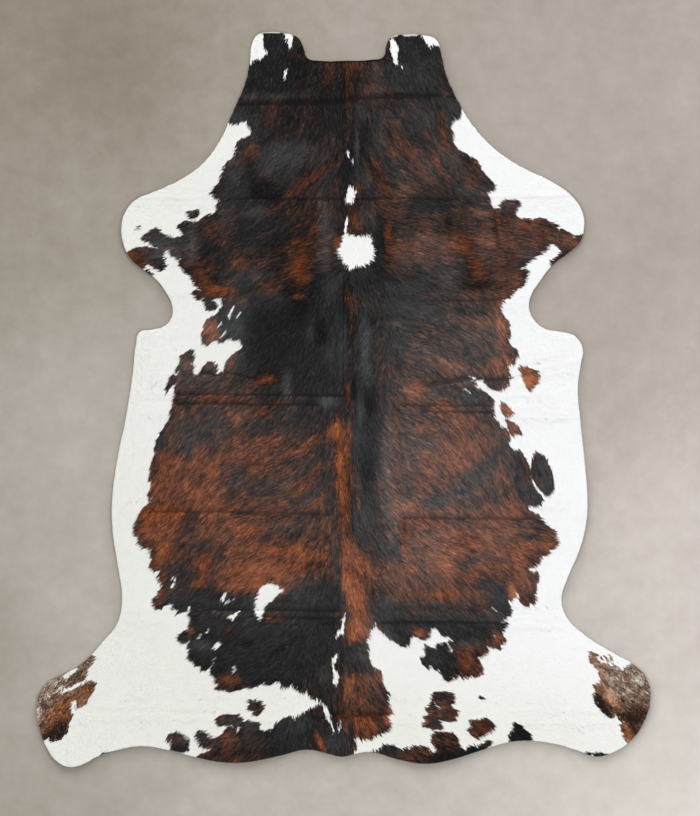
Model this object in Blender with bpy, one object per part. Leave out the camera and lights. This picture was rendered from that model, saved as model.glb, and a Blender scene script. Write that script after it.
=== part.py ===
"""Cowhide rug: one whole brindle and white hide, cut in one piece and laid flat, hair side up.

Metres, +Z up, +Y towards the neck, +X to the right of someone who looks down with the neck on top.
The origin lies on the floor, under the middle of the hide's outline.

The rug is a single sheet. Its outline is one smooth closed curve through named landmarks of the
animal: ears, neck, shoulders, forelegs, armpits, flanks, hind legs and rump. The sheet is the
leather and the coat of hair that lies down on it. It still shows the lines along which it was
folded for transport: some stand up as low soft ridges, and others are creases that stay on the
floor between two low swells. Its hem also stands a little off the floor at the legs and the rump.
"""

from collections import namedtuple
from math import cos, pi, sin

import bmesh
import bpy
from mathutils import Vector

# Driving sizes, in metres.
HIDE_LENGTH = 2.40
LEATHER = 0.0025
LYING_COAT = 0.0025
THICKNESS = LEATHER + LYING_COAT

# Landmarks, folds and rises are read by eye from the photograph, in its pixels from the left and
# from the top. The hide's length, from the ears to the hind legs, sets the size of one pixel.
EARS_TOP, LEGS_BOTTOM = 31.9, 766.9
LEFT_END, RIGHT_END = 36.9, 650.5
PIXEL = HIDE_LENGTH / (LEGS_BOTTOM - EARS_TOP)

Landmark = namedtuple("Landmark", "place left top")

NECK = (
    Landmark("neck notch, middle", 345.0, 60.5),
    Landmark("neck notch, right half", 372.0, 59.3),
    Landmark("neck notch, right corner", 383.5, 56.5),
)
RIGHT_EAR = (
    Landmark("inner side", 386.6, 44.5),
    Landmark("inner corner", 391.5, 36.7),
    Landmark("top", 407.0, 34.3),
    Landmark("top, outer half", 424.0, 35.0),
    Landmark("outer corner", 436.3, 39.3),
    Landmark("outer side", 440.5, 51.0),
)
RIGHT_SHOULDER = (
    Landmark("neck side, upper", 446.0, 74.0),
    Landmark("neck side, middle", 457.5, 100.0),
    Landmark("neck side, lower", 472.5, 125.0),
    Landmark("shoulder hollow", 494.0, 148.0),
    Landmark("shoulder", 520.0, 166.0),
)
RIGHT_FORELEG = (
    Landmark("front edge", 550.0, 180.5),
    Landmark("front corner", 571.5, 195.5),
    Landmark("end, front", 582.3, 211.5),
    Landmark("end, middle", 584.2, 226.0),
    Landmark("end, back", 580.3, 241.5),
    Landmark("back corner", 570.0, 251.5),
    Landmark("back edge", 553.0, 264.5),
)
RIGHT_ARMPIT = (
    Landmark("outer side", 540.0, 281.0),
    Landmark("inner side", 530.5, 297.0),
    Landmark("deepest point", 529.2, 308.0),
    Landmark("lower side", 534.5, 320.5),
    Landmark("lower shelf", 546.0, 329.0),
    Landmark("shelf, outer half", 560.0, 331.5),
)
RIGHT_FLANK = (
    Landmark("upper corner", 574.5, 335.8),
    Landmark("corner, outer side", 582.8, 348.5),
    Landmark("below the corner", 580.8, 365.0),
    Landmark("waist", 578.0, 388.0),
    Landmark("upper edge", 580.4, 420.0),
    Landmark("middle edge", 585.0, 463.0),
    Landmark("fullest point", 587.6, 505.0),
    Landmark("lower edge", 585.3, 529.0),
    Landmark("thigh", 578.8, 552.5),
    Landmark("thigh, lower half", 568.0, 577.5),
)
RIGHT_HIND_LEG = (
    Landmark("hollow above the hock", 561.6, 600.0),
    Landmark("hock bend", 566.3, 616.5),
    Landmark("hock", 582.0, 633.0),
    Landmark("front edge", 612.0, 652.4),
    Landmark("front corner", 636.5, 666.8),
    Landmark("end, front", 648.0, 681.0),
    Landmark("end, middle", 650.5, 698.0),
    Landmark("end, back", 645.5, 719.0),
    Landmark("back corner", 632.5, 739.5),
    Landmark("back edge", 612.0, 753.0),
    Landmark("heel", 596.0, 756.6),
    Landmark("heel, inner side", 579.0, 750.9),
)
RIGHT_RUMP = (
    Landmark("hollow, outer half", 557.0, 744.4),
    Landmark("hollow", 530.0, 740.8),
    Landmark("hollow, inner half", 507.5, 742.7),
    Landmark("outer half", 480.0, 751.0),
    Landmark("outer bulge", 452.0, 759.6),
    Landmark("lowest point", 427.0, 763.8),
    Landmark("inner half", 399.0, 759.7),
    Landmark("inner end", 371.0, 752.2),
)
TAIL_ROOT = (
    Landmark("right side", 355.5, 753.9),
    Landmark("lowest point", 342.0, 756.8),
    Landmark("left side", 329.0, 754.0),
)
LEFT_RUMP = (
    Landmark("inner end", 307.0, 749.9),
    Landmark("inner half", 282.0, 755.4),
    Landmark("lowest point", 245.0, 762.4),
    Landmark("outer bulge", 222.0, 762.3),
    Landmark("outer half", 197.0, 757.6),
    Landmark("hollow, inner half", 168.5, 750.3),
    Landmark("hollow", 142.0, 746.3),
    Landmark("hollow, outer half", 119.0, 749.6),
)
LEFT_HIND_LEG = (
    Landmark("heel, inner side", 97.0, 756.6),
    Landmark("back edge", 82.0, 764.6),
    Landmark("lowest point", 69.0, 766.9),
    Landmark("back corner", 57.5, 762.0),
    Landmark("end, back", 47.0, 748.5),
    Landmark("end, middle", 40.3, 731.0),
    Landmark("end, front", 36.9, 708.0),
    Landmark("front corner, outer side", 39.2, 695.0),
    Landmark("front corner", 46.5, 684.2),
    Landmark("front edge", 58.5, 676.4),
    Landmark("hock", 74.0, 669.3),
    Landmark("hock, inner half", 90.0, 656.8),
    Landmark("hock bend", 103.5, 641.0),
    Landmark("below the hollow", 117.0, 624.0),
    Landmark("hollow above the hock", 122.0, 600.0),
)
LEFT_FLANK = (
    Landmark("thigh", 117.8, 566.0),
    Landmark("lower edge", 112.8, 533.0),
    Landmark("fullest point", 112.0, 502.0),
    Landmark("middle edge", 117.2, 460.0),
    Landmark("upper edge", 125.5, 420.0),
    Landmark("waist", 132.5, 375.0),
    Landmark("corner, outer side", 136.2, 343.0),
    Landmark("upper corner", 139.5, 332.0),
    Landmark("shelf", 152.0, 329.5),
)
LEFT_ARMPIT = (
    Landmark("lower side", 164.5, 325.8),
    Landmark("inner side", 171.7, 317.0),
    Landmark("deepest point", 171.8, 304.0),
    Landmark("upper side", 165.8, 292.0),
    Landmark("outer side", 156.5, 279.6),
)
LEFT_FORELEG = (
    Landmark("back edge", 143.0, 269.3),
    Landmark("back corner", 130.0, 257.5),
    Landmark("end, back", 123.2, 243.0),
    Landmark("end, middle", 121.4, 228.0),
    Landmark("end, front", 124.5, 213.5),
    Landmark("front corner", 135.5, 199.8),
    Landmark("front edge", 153.5, 192.0),
)
LEFT_SHOULDER = (
    Landmark("shoulder", 181.5, 178.8),
    Landmark("shoulder hollow", 204.5, 161.7),
    Landmark("neck side, lower", 220.0, 140.5),
    Landmark("neck side, middle", 233.5, 110.5),
    Landmark("neck side, upper", 245.3, 83.0),
)
LEFT_EAR = (
    Landmark("root", 250.4, 59.0),
    Landmark("outer side", 252.2, 43.0),
    Landmark("outer corner", 257.5, 34.6),
    Landmark("top, outer half", 268.0, 31.9),
    Landmark("top", 283.0, 32.7),
    Landmark("inner corner", 297.5, 37.0),
    Landmark("inner side", 303.2, 46.5),
    Landmark("neck notch, left corner", 307.5, 57.8),
    Landmark("neck notch, left half", 319.0, 60.3),
)
OUTLINE = (
    NECK + RIGHT_EAR + RIGHT_SHOULDER + RIGHT_FORELEG + RIGHT_ARMPIT + RIGHT_FLANK
    + RIGHT_HIND_LEG + RIGHT_RUMP + TAIL_ROOT + LEFT_RUMP + LEFT_HIND_LEG + LEFT_FLANK
    + LEFT_ARMPIT + LEFT_FORELEG + LEFT_SHOULDER + LEFT_EAR
)
CURVE_STEPS = 4  # straight pieces between two landmarks

# The folds of the transport bundle run across the hide, about a third of a metre apart. A ridge
# stands up along its line, and a crease lies on the floor between two swells. Starts and ends are
# in the photograph's pixels; rise and reach, to each side of the line, are in metres.
Fold = namedtuple("Fold", "place kind left1 top1 left2 top2 rise reach")

FOLDS = (
    Fold("nape, left half", "crease", 225.0, 102.5, 338.0, 101.5, 0.0024, 0.030),
    Fold("nape, right half", "crease", 350.0, 101.0, 470.0, 97.5, 0.0026, 0.030),
    Fold("withers", "ridge", 125.0, 199.5, 585.0, 197.0, 0.0034, 0.034),
    Fold("chest, left end", "crease", 160.0, 297.0, 232.0, 296.0, 0.0018, 0.028),
    Fold("chest, right half", "ridge", 400.0, 304.0, 545.0, 298.0, 0.0030, 0.030),
    Fold("ribs, left wrinkle", "ridge", 180.0, 379.0, 262.0, 371.5, 0.0022, 0.022),
    Fold("ribs, right slant", "ridge", 418.0, 387.0, 590.0, 361.5, 0.0030, 0.026),
    Fold("back, left upper", "ridge", 128.0, 393.5, 338.0, 394.0, 0.0030, 0.024),
    Fold("back, left lower", "crease", 128.0, 408.0, 338.0, 408.0, 0.0016, 0.022),
    Fold("back, right half", "ridge", 352.0, 408.5, 585.0, 409.0, 0.0034, 0.034),
    Fold("belly, left half", "ridge", 108.0, 511.0, 335.0, 511.0, 0.0026, 0.030),
    Fold("belly, right half", "ridge", 388.0, 517.0, 592.0, 520.0, 0.0032, 0.032),
    Fold("loin, left half", "ridge", 118.0, 614.0, 338.0, 617.5, 0.0026, 0.030),
    Fold("loin, right half", "ridge", 352.0, 618.5, 570.0, 619.5, 0.0034, 0.034),
    Fold("rump", "crease", 30.0, 709.0, 655.0, 714.0, 0.0028, 0.034),
    Fold("spine", "ridge", 345.0, 50.0, 341.0, 765.0, 0.0024, 0.045),
    Fold("left hind leg", "crease", 70.5, 722.0, 69.5, 772.0, 0.0016, 0.026),
)
FADE = 0.070            # a fold dies away over this length at each of its ends
UNEVEN_SHARE = 0.25     # how far a fold's rise swings along its line
UNEVEN_PITCH = 0.46     # length of one such swing

# The hem stands off the floor here and there. Places are in the photograph's pixels.
Rise = namedtuple("Rise", "place left top rise reach")

RISES = (
    Rise("left ear", 262.0, 30.0, 0.0030, 0.130),
    Rise("right ear", 430.0, 32.0, 0.0030, 0.120),
    Rise("left foreleg", 118.0, 238.0, 0.0045, 0.190),
    Rise("right foreleg", 590.0, 222.0, 0.0040, 0.190),
    Rise("left flank corner", 132.0, 336.0, 0.0030, 0.130),
    Rise("right flank corner", 588.0, 340.0, 0.0030, 0.130),
    Rise("right thigh", 594.0, 520.0, 0.0040, 0.210),
    Rise("left thigh", 106.0, 520.0, 0.0030, 0.210),
    Rise("left hind leg, end", 34.0, 716.0, 0.0040, 0.180),
    Rise("left hind leg, back", 66.0, 772.0, 0.0055, 0.180),
    Rise("left rump", 236.0, 768.0, 0.0045, 0.230),
    Rise("tail root", 340.0, 762.0, 0.0030, 0.110),
    Rise("right rump", 428.0, 768.0, 0.0050, 0.230),
    Rise("right hind leg, end", 656.0, 706.0, 0.0055, 0.200),
    Rise("right heel", 598.0, 762.0, 0.0045, 0.150),
)
GRID_PITCH = 0.095      # between the cuts that let the sheet bend at its rises
NEAR_CUT = 0.0008       # a cut passes through corners that lie this close to it
NEAR_CORNER = 0.0025    # corners of the cuts that lie this close together become one

HIDE_BROWN = (0.115, 0.062, 0.042, 1.0)
HIDE_ROUGHNESS = 0.62


def place(left, top):
    """A point of the photograph, on the floor in the rug's own frame."""
    across = (left - (LEFT_END + RIGHT_END) / 2) * PIXEL
    along = ((EARS_TOP + LEGS_BOTTOM) / 2 - top) * PIXEL
    return Vector((across, along, 0.0))


def remove_all_objects():
    for old in list(bpy.data.objects):
        bpy.data.objects.remove(old, do_unlink=True)


def outline_curve():
    """The cut edge of the hide, as a filled flat curve with the sheet's thickness."""
    curve = bpy.data.curves.new("hide outline", "CURVE")
    curve.dimensions = "2D"
    curve.fill_mode = "BOTH"
    curve.extrude = THICKNESS / 2
    spline = curve.splines.new("BEZIER")
    spline.bezier_points.add(len(OUTLINE) - 1)
    spline.use_cyclic_u = True
    spline.resolution_u = CURVE_STEPS
    for point, mark in zip(spline.bezier_points, OUTLINE):
        point.co = place(mark.left, mark.top)
        point.handle_left_type = "AUTO"
        point.handle_right_type = "AUTO"
    guide = bpy.data.objects.new("hide outline", curve)
    bpy.context.scene.collection.objects.link(guide)
    return guide


def slab_mesh(guide):
    """The curve as a closed slab with one face on top and one below, standing on the floor."""
    evaluated = guide.evaluated_get(bpy.context.evaluated_depsgraph_get())
    mesh = bpy.data.meshes.new_from_object(evaluated)
    bpy.data.objects.remove(guide, do_unlink=True)
    slab = bmesh.new()
    slab.from_mesh(mesh)
    bpy.data.meshes.remove(mesh)
    bmesh.ops.remove_doubles(slab, verts=slab.verts, dist=0.0001)
    for face in slab.faces:
        face.normal_update()
    flat = [e for e in slab.edges if all(abs(f.normal.z) > 0.5 for f in e.link_faces)]
    bmesh.ops.dissolve_edges(slab, edges=flat)
    bmesh.ops.translate(slab, verts=slab.verts, vec=(0.0, 0.0, THICKNESS / 2))
    bmesh.ops.recalc_face_normals(slab, faces=slab.faces)
    return slab


def cut(slab, faces, point, across_cut):
    """Splits some of the slab's faces along the upright plane through a point."""
    edges = list(dict.fromkeys(edge for face in faces for edge in face.edges))
    corners = list(dict.fromkeys(corner for face in faces for corner in face.verts))
    bmesh.ops.bisect_plane(
        slab, geom=corners + edges + faces, dist=NEAR_CUT, plane_co=point, plane_no=across_cut
    )


def cut_grid(slab):
    """Cuts the sheet into coarse cells, so that it can bend between its folds."""
    half_width = (RIGHT_END - LEFT_END) * PIXEL / 2
    for half_size, axis in ((half_width, Vector((1, 0, 0))), (HIDE_LENGTH / 2, Vector((0, 1, 0)))):
        count = round(2 * half_size / GRID_PITCH)
        for step in range(1, count):
            cut(slab, slab.faces[:], axis * (half_size * (2 * step / count - 1)), axis)


def fold_line(fold):
    """A fold's start, its direction, the direction across it, and its length."""
    start = place(fold.left1, fold.top1)
    run = place(fold.left2, fold.top2) - start
    direction = run.normalized()
    return start, direction, Vector((-direction.y, direction.x, 0.0)), run.length


def fold_reaches(face, start, direction, length):
    """True where a face lies beside the fold's own length."""
    runs = [(corner.co - start).dot(direction) for corner in face.verts]
    return max(runs) > 0.0 and min(runs) < length


def cut_at_folds(slab):
    """Cuts each fold's own stretch of the sheet along its line and at its shape's turning points."""
    for fold in FOLDS:
        start, direction, side, length = fold_line(fold)
        for share in (-1.0, -0.5, 0.0, 0.5, 1.0):
            reached = [face for face in slab.faces if fold_reaches(face, start, direction, length)]
            cut(slab, reached, start + side * (share * fold.reach), side)


def fold_height(fold, point):
    """How far a fold lifts the sheet at a point."""
    start, direction, side, length = fold_line(fold)
    run = (point - start).dot(direction)
    off = abs((point - start).dot(side)) / fold.reach
    if off >= 1.0 or not 0.0 < run < length:
        return 0.0
    fade = min(1.0, min(run, length - run) / FADE)
    swing = 1.0 - UNEVEN_SHARE * (0.5 - 0.5 * cos(2 * pi * run / UNEVEN_PITCH))
    shape = 0.5 + 0.5 * cos(pi * off) if fold.kind == "ridge" else sin(pi * off) ** 2
    return fold.rise * fade * swing * shape


def rise_height(rise, point):
    """How far a rise of the hem lifts the sheet at a point."""
    off = (point - place(rise.left, rise.top)).length / rise.reach
    return rise.rise * (0.5 + 0.5 * cos(pi * off)) if off < 1.0 else 0.0


def bend(slab):
    """Lifts both sides of the sheet alike along its folds and at the rises of its hem."""
    for corner in slab.verts:
        floor_point = Vector((corner.co.x, corner.co.y, 0.0))
        height = max(fold_height(fold, floor_point) for fold in FOLDS)
        height += max(rise_height(rise, floor_point) for rise in RISES)
        corner.co.z += height


def centre(slab):
    """Sets the middle of the outline over the origin, whatever the curve adds at its ends."""
    for axis in (0, 1):
        places = [corner.co[axis] for corner in slab.verts]
        middle = (max(places) + min(places)) / 2
        for corner in slab.verts:
            corner.co[axis] -= middle


def coat_material():
    material = bpy.data.materials.new("brindle coat")
    material.use_nodes = True
    shader = material.node_tree.nodes["Principled BSDF"]
    shader.inputs["Base Color"].default_value = HIDE_BROWN
    shader.inputs["Roughness"].default_value = HIDE_ROUGHNESS
    shader.inputs["Metallic"].default_value = 0.0
    material.diffuse_color = HIDE_BROWN
    return material


def make_hide():
    slab = slab_mesh(outline_curve())
    cut_grid(slab)
    cut_at_folds(slab)
    bmesh.ops.remove_doubles(slab, verts=slab.verts, dist=NEAR_CORNER)
    bend(slab)
    centre(slab)
    bmesh.ops.triangulate(slab, faces=slab.faces)
    mesh = bpy.data.meshes.new("hide")
    slab.to_mesh(mesh)
    slab.free()
    mesh.materials.append(coat_material())
    mesh.shade_smooth()
    mesh.set_sharp_from_angle(angle=pi / 4)
    return bpy.data.objects.new("hide", mesh)


def main():
    remove_all_objects()
    rug = bpy.data.collections.new("cowhide rug")
    bpy.context.scene.collection.children.link(rug)
    rug.objects.link(make_hide())


main()
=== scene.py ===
# %% [markdown]
# # A cowhide rug, hair side up
# A cowhide rug is one whole tanned hide with its hair left on, trimmed to the outline of the
# animal: neck and ears at the top, forelegs, belly, hind legs and tail root further down.
# Two things make it look real: a thin sheet of leather, and a coat of short, flat-lying hair.
# Here the leather is one trimmed sheet, and the coat is over two hundred thousand small locks
# of hair, each one a real little shape that leans the way the hair grows.

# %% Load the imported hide
import math

import bmesh
import bpy
import numpy as np
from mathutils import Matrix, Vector
from mathutils.bvhtree import BVHTree


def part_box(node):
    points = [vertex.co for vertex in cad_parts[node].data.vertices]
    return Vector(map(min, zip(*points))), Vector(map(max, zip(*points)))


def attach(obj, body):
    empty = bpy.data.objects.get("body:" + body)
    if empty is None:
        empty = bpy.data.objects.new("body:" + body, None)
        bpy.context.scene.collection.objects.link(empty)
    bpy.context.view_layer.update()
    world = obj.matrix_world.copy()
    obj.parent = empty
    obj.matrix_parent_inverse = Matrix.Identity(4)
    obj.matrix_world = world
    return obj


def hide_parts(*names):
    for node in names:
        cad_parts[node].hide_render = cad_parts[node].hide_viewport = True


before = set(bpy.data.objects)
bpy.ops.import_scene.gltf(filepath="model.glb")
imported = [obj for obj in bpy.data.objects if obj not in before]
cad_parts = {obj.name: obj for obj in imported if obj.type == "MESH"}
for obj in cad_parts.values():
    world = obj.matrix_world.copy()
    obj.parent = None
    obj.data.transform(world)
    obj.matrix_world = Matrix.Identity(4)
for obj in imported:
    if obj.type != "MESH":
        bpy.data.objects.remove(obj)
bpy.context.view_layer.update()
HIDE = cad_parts["hide"]
LOW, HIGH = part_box("hide")
print("packed hide:", [round(side, 4) for side in HIGH - LOW], "m")

# %% [markdown]
# ## Reading the photograph
# The photograph looks straight down, so one pixel is the same length everywhere. All the
# patterns below are given in its pixels, as (left, top), because that is how their places were
# read off it, and one function turns them into metres on the rug. The neck points to +Y.

# %% Pixels and metres
HIDE_PIXELS = 735.0            # the hide's length in the photograph
PIXEL = (HIGH.y - LOW.y) / HIDE_PIXELS
BOX_MIDDLE = (343.7, 399.4)    # where the middle of the hide's box lies
SHOT_SIZE = (700, 816)


def metres(spots):
    """Places on the rug, in metres, of spots in the photograph."""
    return (np.asarray(spots, float) - BOX_MIDDLE) * (PIXEL, -PIXEL)


def spots_of(places):
    """Spots in the photograph of places on the rug."""
    return np.asarray(places, float) / (PIXEL, -PIXEL) + BOX_MIDDLE


def pick(thing):
    """Selects one object alone and makes it the active one."""
    bpy.ops.object.select_all(action="DESELECT")
    thing.select_set(True)
    bpy.context.view_layer.objects.active = thing


print("one pixel is", round(PIXEL * 1000, 3), "mm")

# %% [markdown]
# ## Camera
# The picture has no visible perspective. A long lens hung high over the rug gives nearly the
# same, and it stays a normal perspective camera, which can be turned around the object.

# %% Camera
LENS, SENSOR = 100.0, 36.0
COAT_TOP = 0.006
shot_middle = metres((SHOT_SIZE[0] / 2, SHOT_SIZE[1] / 2))
camera_height = COAT_TOP + SHOT_SIZE[1] * PIXEL * LENS / SENSOR
bpy.ops.object.camera_add(
    location=(shot_middle[0], shot_middle[1], camera_height), rotation=(0, 0, 0)
)
camera = bpy.context.object
camera.data.lens, camera.data.sensor_width = LENS, SENSOR
bpy.context.scene.camera = camera
print("camera", round(camera_height, 3), "m over the floor")

# %% [markdown]
# ## Node helpers
# Every material below is built from nodes, so short helpers save much repetition. One opens a
# new material, one adds a node and sets its sockets, and the others add one kind of node each
# and hand back what comes out of it.

# %% Node helpers
def linear(code):
    """The light values of a colour written as six hex digits."""
    parts = np.array([int(code[i : i + 2], 16) / 255 for i in (1, 3, 5)])
    return np.where(parts <= 0.04045, parts / 12.92, ((parts + 0.055) / 1.055) ** 2.4)


def add_node(tree, kind, sockets=None, **settings):
    """Adds a node. A socket's value is a plain value, or another node's output to link from."""
    node = tree.nodes.new(kind)
    for name, value in settings.items():
        setattr(node, name, value)
    for name, value in (sockets or {}).items():
        if isinstance(value, bpy.types.NodeSocket):
            tree.links.new(value, node.inputs[name])
        else:
            node.inputs[name].default_value = value
    return node


def feed(tree, node, sources):
    """Links other nodes' outputs to a node's named sockets."""
    for name, source in sources.items():
        tree.links.new(source, node.inputs[name])


def attribute(tree, name):
    """The node that reads one attribute of the mesh."""
    return add_node(tree, "ShaderNodeAttribute", attribute_name=name)


def math_node(tree, operation, *values):
    """The result of one sum, from plain values and other nodes' outputs."""
    sockets = dict(enumerate(values))
    return add_node(tree, "ShaderNodeMath", sockets, operation=operation).outputs[0]


def noise_node(tree, place, scale, detail, roughness=0.5):
    """The values of a cloudy noise at each place."""
    sockets = {"Vector": place, "Scale": scale, "Detail": detail, "Roughness": roughness}
    return add_node(tree, "ShaderNodeTexNoise", sockets).outputs["Fac"]


def moved_span(tree, value, old=(0.0, 1.0), new=(0.0, 1.0), **settings):
    """A value moved from its old span to a new one, and held inside it."""
    sockets = {"Value": value, "From Min": old[0], "From Max": old[1]}
    sockets |= {"To Min": new[0], "To Max": new[1]}
    return add_node(tree, "ShaderNodeMapRange", sockets, **settings).outputs[0]


def dimmed(tree, colour, share):
    """A colour times a share."""
    sockets = {0: colour, "Scale": share}
    return add_node(tree, "ShaderNodeVectorMath", sockets, operation="SCALE").outputs[0]


def new_material(name, **sockets):
    """A material with one Principled shader, its even sockets set to plain values."""
    material = bpy.data.materials.new(name)
    material.use_nodes = True
    shader = material.node_tree.nodes["Principled BSDF"]
    for socket, value in sockets.items():
        shader.inputs[socket.replace("_", " ")].default_value = value
    return material, material.node_tree, shader


# %% [markdown]
# ## Floor and light
# The floor is two level grids: a wide one, and a fine one near the rug, which later holds the
# soft shadow painted round the hide.

# %% Floor grids
def new_floor(name, cells, size, height):
    """A level grid that belongs to the stage, not to the rug."""
    bpy.ops.object.select_all(action="DESELECT")
    bpy.ops.mesh.primitive_grid_add(
        x_subdivisions=cells[0], y_subdivisions=cells[1], size=1, location=(0, 0, height)
    )
    bpy.ops.transform.resize(value=(size[0], size[1], 1))
    bpy.ops.object.transform_apply(location=True, rotation=True, scale=True)
    bpy.context.object.name = name
    return bpy.context.object


WIDE_FLOOR, WIDE_CELLS, WIDE_HEIGHT = (16, 16), (1, 1), -0.0008
NEAR_FLOOR, NEAR_CELLS, NEAR_HEIGHT = (3.0, 3.3), (150, 165), -0.0003
RIM, DIP = 0.30, 0.0006        # its rim dips under the wide floor, so that no step shows
floor = new_floor("floor", WIDE_CELLS, WIDE_FLOOR, WIDE_HEIGHT)
near_floor = new_floor("floor near the rug", NEAR_CELLS, NEAR_FLOOR, NEAR_HEIGHT)
for point in near_floor.data.vertices:
    from_rim = min(NEAR_FLOOR[0] / 2 - abs(point.co.x), NEAR_FLOOR[1] / 2 - abs(point.co.y))
    point.co.z -= DIP * max(0, 1 - from_rim / RIM)
print("floor of", len(near_floor.data.polygons), "cells near the rug")

# %% [markdown]
# The floor is plain and pale, and slightly mottled, as smooth plaster is. Its shade starts at
# one value. Two noises mottle it, an even slope of painted shade darkens it towards the top
# left, where the light falls off, and soft clouds lighten or darken it here and there. A ramp
# turns the shade into colour, and at the right the colour gets a faint rosy cast.

# %% Finish of the floor
BASE_SHADE, SHADE_SPAN = 0.09, (-0.25, 1.0)
# painted shade: darker towards the top left, where the light falls off
FLOOR_SLOPE = (0.194, -0.167, 0)
FLOOR_NOISES = (
    # scale, detail, roughness, strength
    (2.6, 8.0, 0.62, 0.26), (13.0, 5.0, 0.7, 0.40),
)
FLOOR_CLOUDS = (
    # x and y in metres, radius, how much lighter
    (-0.90, -0.10, 0.75, 0.20), (0.85, 0.25, 0.80, -0.10), (-0.95, -1.35, 0.60, -0.18),
    (1.15, -1.35, 0.70, 0.12), (1.05, -0.45, 0.50, 0.10), (1.05, 0.55, 0.45, -0.08),
    (0.0, 1.30, 0.50, 0.08), (-0.90, -0.72, 0.42, 0.12), (-0.72, 1.12, 0.45, -0.155),
    (-1.10, -0.80, 0.28, -0.14), (0.0, -1.30, 0.60, -0.07),
)
FLOOR_TINTS = ((0.0, "#766e60"), (0.2, "#888073"), (0.6, "#aba49b"), (1.0, "#cec8c1"))
ROSY_CAST, ROSY_LEAN, ROSY_SPAN = (0.99, 0.950, 0.975), 0.5, (0.2, 1.5)
floor_finish, tree, shader = new_material("plain floor", Roughness=0.9, Specular_IOR_Level=0.1)
place = add_node(tree, "ShaderNodeTexCoord").outputs["Object"]
shade = BASE_SHADE
for *grain_size, strength in FLOOR_NOISES:
    shade = math_node(tree, "MULTIPLY_ADD", noise_node(tree, place, *grain_size), strength, shade)
slope = add_node(tree, "ShaderNodeVectorMath", {0: place, 1: FLOOR_SLOPE}, operation="DOT_PRODUCT")
shade = math_node(tree, "ADD", slope.outputs["Value"], shade)
for x, y, radius, lighter in FLOOR_CLOUDS:
    off = add_node(tree, "ShaderNodeVectorMath", {0: place, 1: (x, y, 0)}, operation="DISTANCE")
    cloud = moved_span(
        tree, off.outputs["Value"], (0.0, radius), (lighter, 0.0), interpolation_type="SMOOTHSTEP"
    )
    shade = math_node(tree, "ADD", shade, cloud)
tint = add_node(tree, "ShaderNodeValToRGB", {"Fac": moved_span(tree, shade, SHADE_SPAN)})
for stop, _ in FLOOR_TINTS[1:-1]:
    tint.color_ramp.elements.new(stop)
for element, (stop, code) in zip(tint.color_ramp.elements, FLOOR_TINTS):
    element.position, element.color = stop, (*linear(code), 1)
# painted shadow: the floor's colour is darkened next to the rug
lit = math_node(tree, "SUBTRACT", 1.0, attribute(tree, "painted_shadow").outputs["Fac"])
lit_tint = dimmed(tree, tint.outputs["Color"], lit)
axes = add_node(tree, "ShaderNodeSeparateXYZ", {"Vector": place})
beside = math_node(tree, "MULTIPLY_ADD", axes.outputs["Y"], ROSY_LEAN, axes.outputs["X"])
cast = add_node(tree, "ShaderNodeValToRGB", {"Fac": moved_span(tree, beside, ROSY_SPAN)})
cast.color_ramp.elements[0].color = (1, 1, 1, 1)
cast.color_ramp.elements[1].color = (*ROSY_CAST, 1)
lit_tint = add_node(
    tree, "ShaderNodeVectorMath", {0: lit_tint, 1: cast.outputs["Color"]}, operation="MULTIPLY"
)
feed(tree, shader, {"Base Color": lit_tint.outputs["Vector"]})
for part in (floor, near_floor):
    part.data.materials.append(floor_finish)
print(len(FLOOR_CLOUDS), "clouds on the floor")

# %% [markdown]
# Four large softboxes stand round the rug, outside the picture, so that no light glances off
# the hair straight into the camera and turns its black to grey. The one past the neck stands
# lowest: it brushes over the folds and leaves a narrow shadow under the lower hem.

# %% Light
SOFTBOXES = (
    # name, power in watts, size in metres, place
    ("low softbox past the neck", 420.0, 2.6, (-0.3, 7.0, 2.9)),
    ("softbox on the left", 170.0, 3.0, (-6.0, 0.0, 4.4)),
    ("softbox on the right", 215.0, 3.0, (5.6, -0.6, 4.2)),
    ("softbox past the hem", 185.0, 3.0, (0.4, -5.6, 4.2)),
)
for name, power, size, spot in SOFTBOXES:
    facing = Vector(spot).to_track_quat("Z", "Y").to_euler()
    bpy.ops.object.light_add(type="AREA", location=spot, rotation=facing)
    softbox = bpy.context.object
    softbox.name, softbox.data.energy, softbox.data.size = name, power, size
world = bpy.data.worlds.new("studio")
world.use_nodes = True
world.node_tree.nodes["Background"].inputs["Color"].default_value = (0.95, 0.97, 1.0, 1)
world.node_tree.nodes["Background"].inputs["Strength"].default_value = 0.27
bpy.context.scene.world = world
bpy.context.scene.view_settings.view_transform = "Standard"
print(len(SOFTBOXES), "softboxes")

# %% [markdown]
# ## The outline
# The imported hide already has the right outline, folds and hem. A copy of it keeps only the
# faces that look up; the border of those faces is the outline. Flattened, joined to a single
# face and pulled up, the copy becomes a cutter with the shape of a pastry mould.

# %% Cutter and outline
cutter = HIDE.copy()
cutter.data = HIDE.data.copy()
bpy.context.scene.collection.objects.link(cutter)
pick(cutter)
bpy.ops.object.mode_set(mode="EDIT")
bpy.ops.mesh.select_all(action="SELECT")
bpy.ops.mesh.remove_doubles(threshold=0.0001)
bpy.ops.mesh.select_all(action="DESELECT")
shape = bmesh.from_edit_mesh(cutter.data)
for face in shape.faces:
    face.select_set(face.normal.z < 0.5)
bmesh.update_edit_mesh(cutter.data)
bpy.ops.mesh.delete(type="FACE")


def border_loop(mesh_shape):
    """The corners of a sheet's border, in order, as rows of x and y."""
    links = {}
    for edge in mesh_shape.edges:
        if edge.is_boundary:
            for a, b in (edge.verts, reversed(edge.verts)):
                links.setdefault(a, []).append(b)
    start = next(iter(links))
    loop, before, corner = [start], None, start
    while True:
        ahead = [c for c in links[corner] if c is not before][0]
        if ahead is start:
            return np.array([c.co.xy for c in loop])
        loop.append(ahead)
        before, corner = corner, ahead


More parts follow.
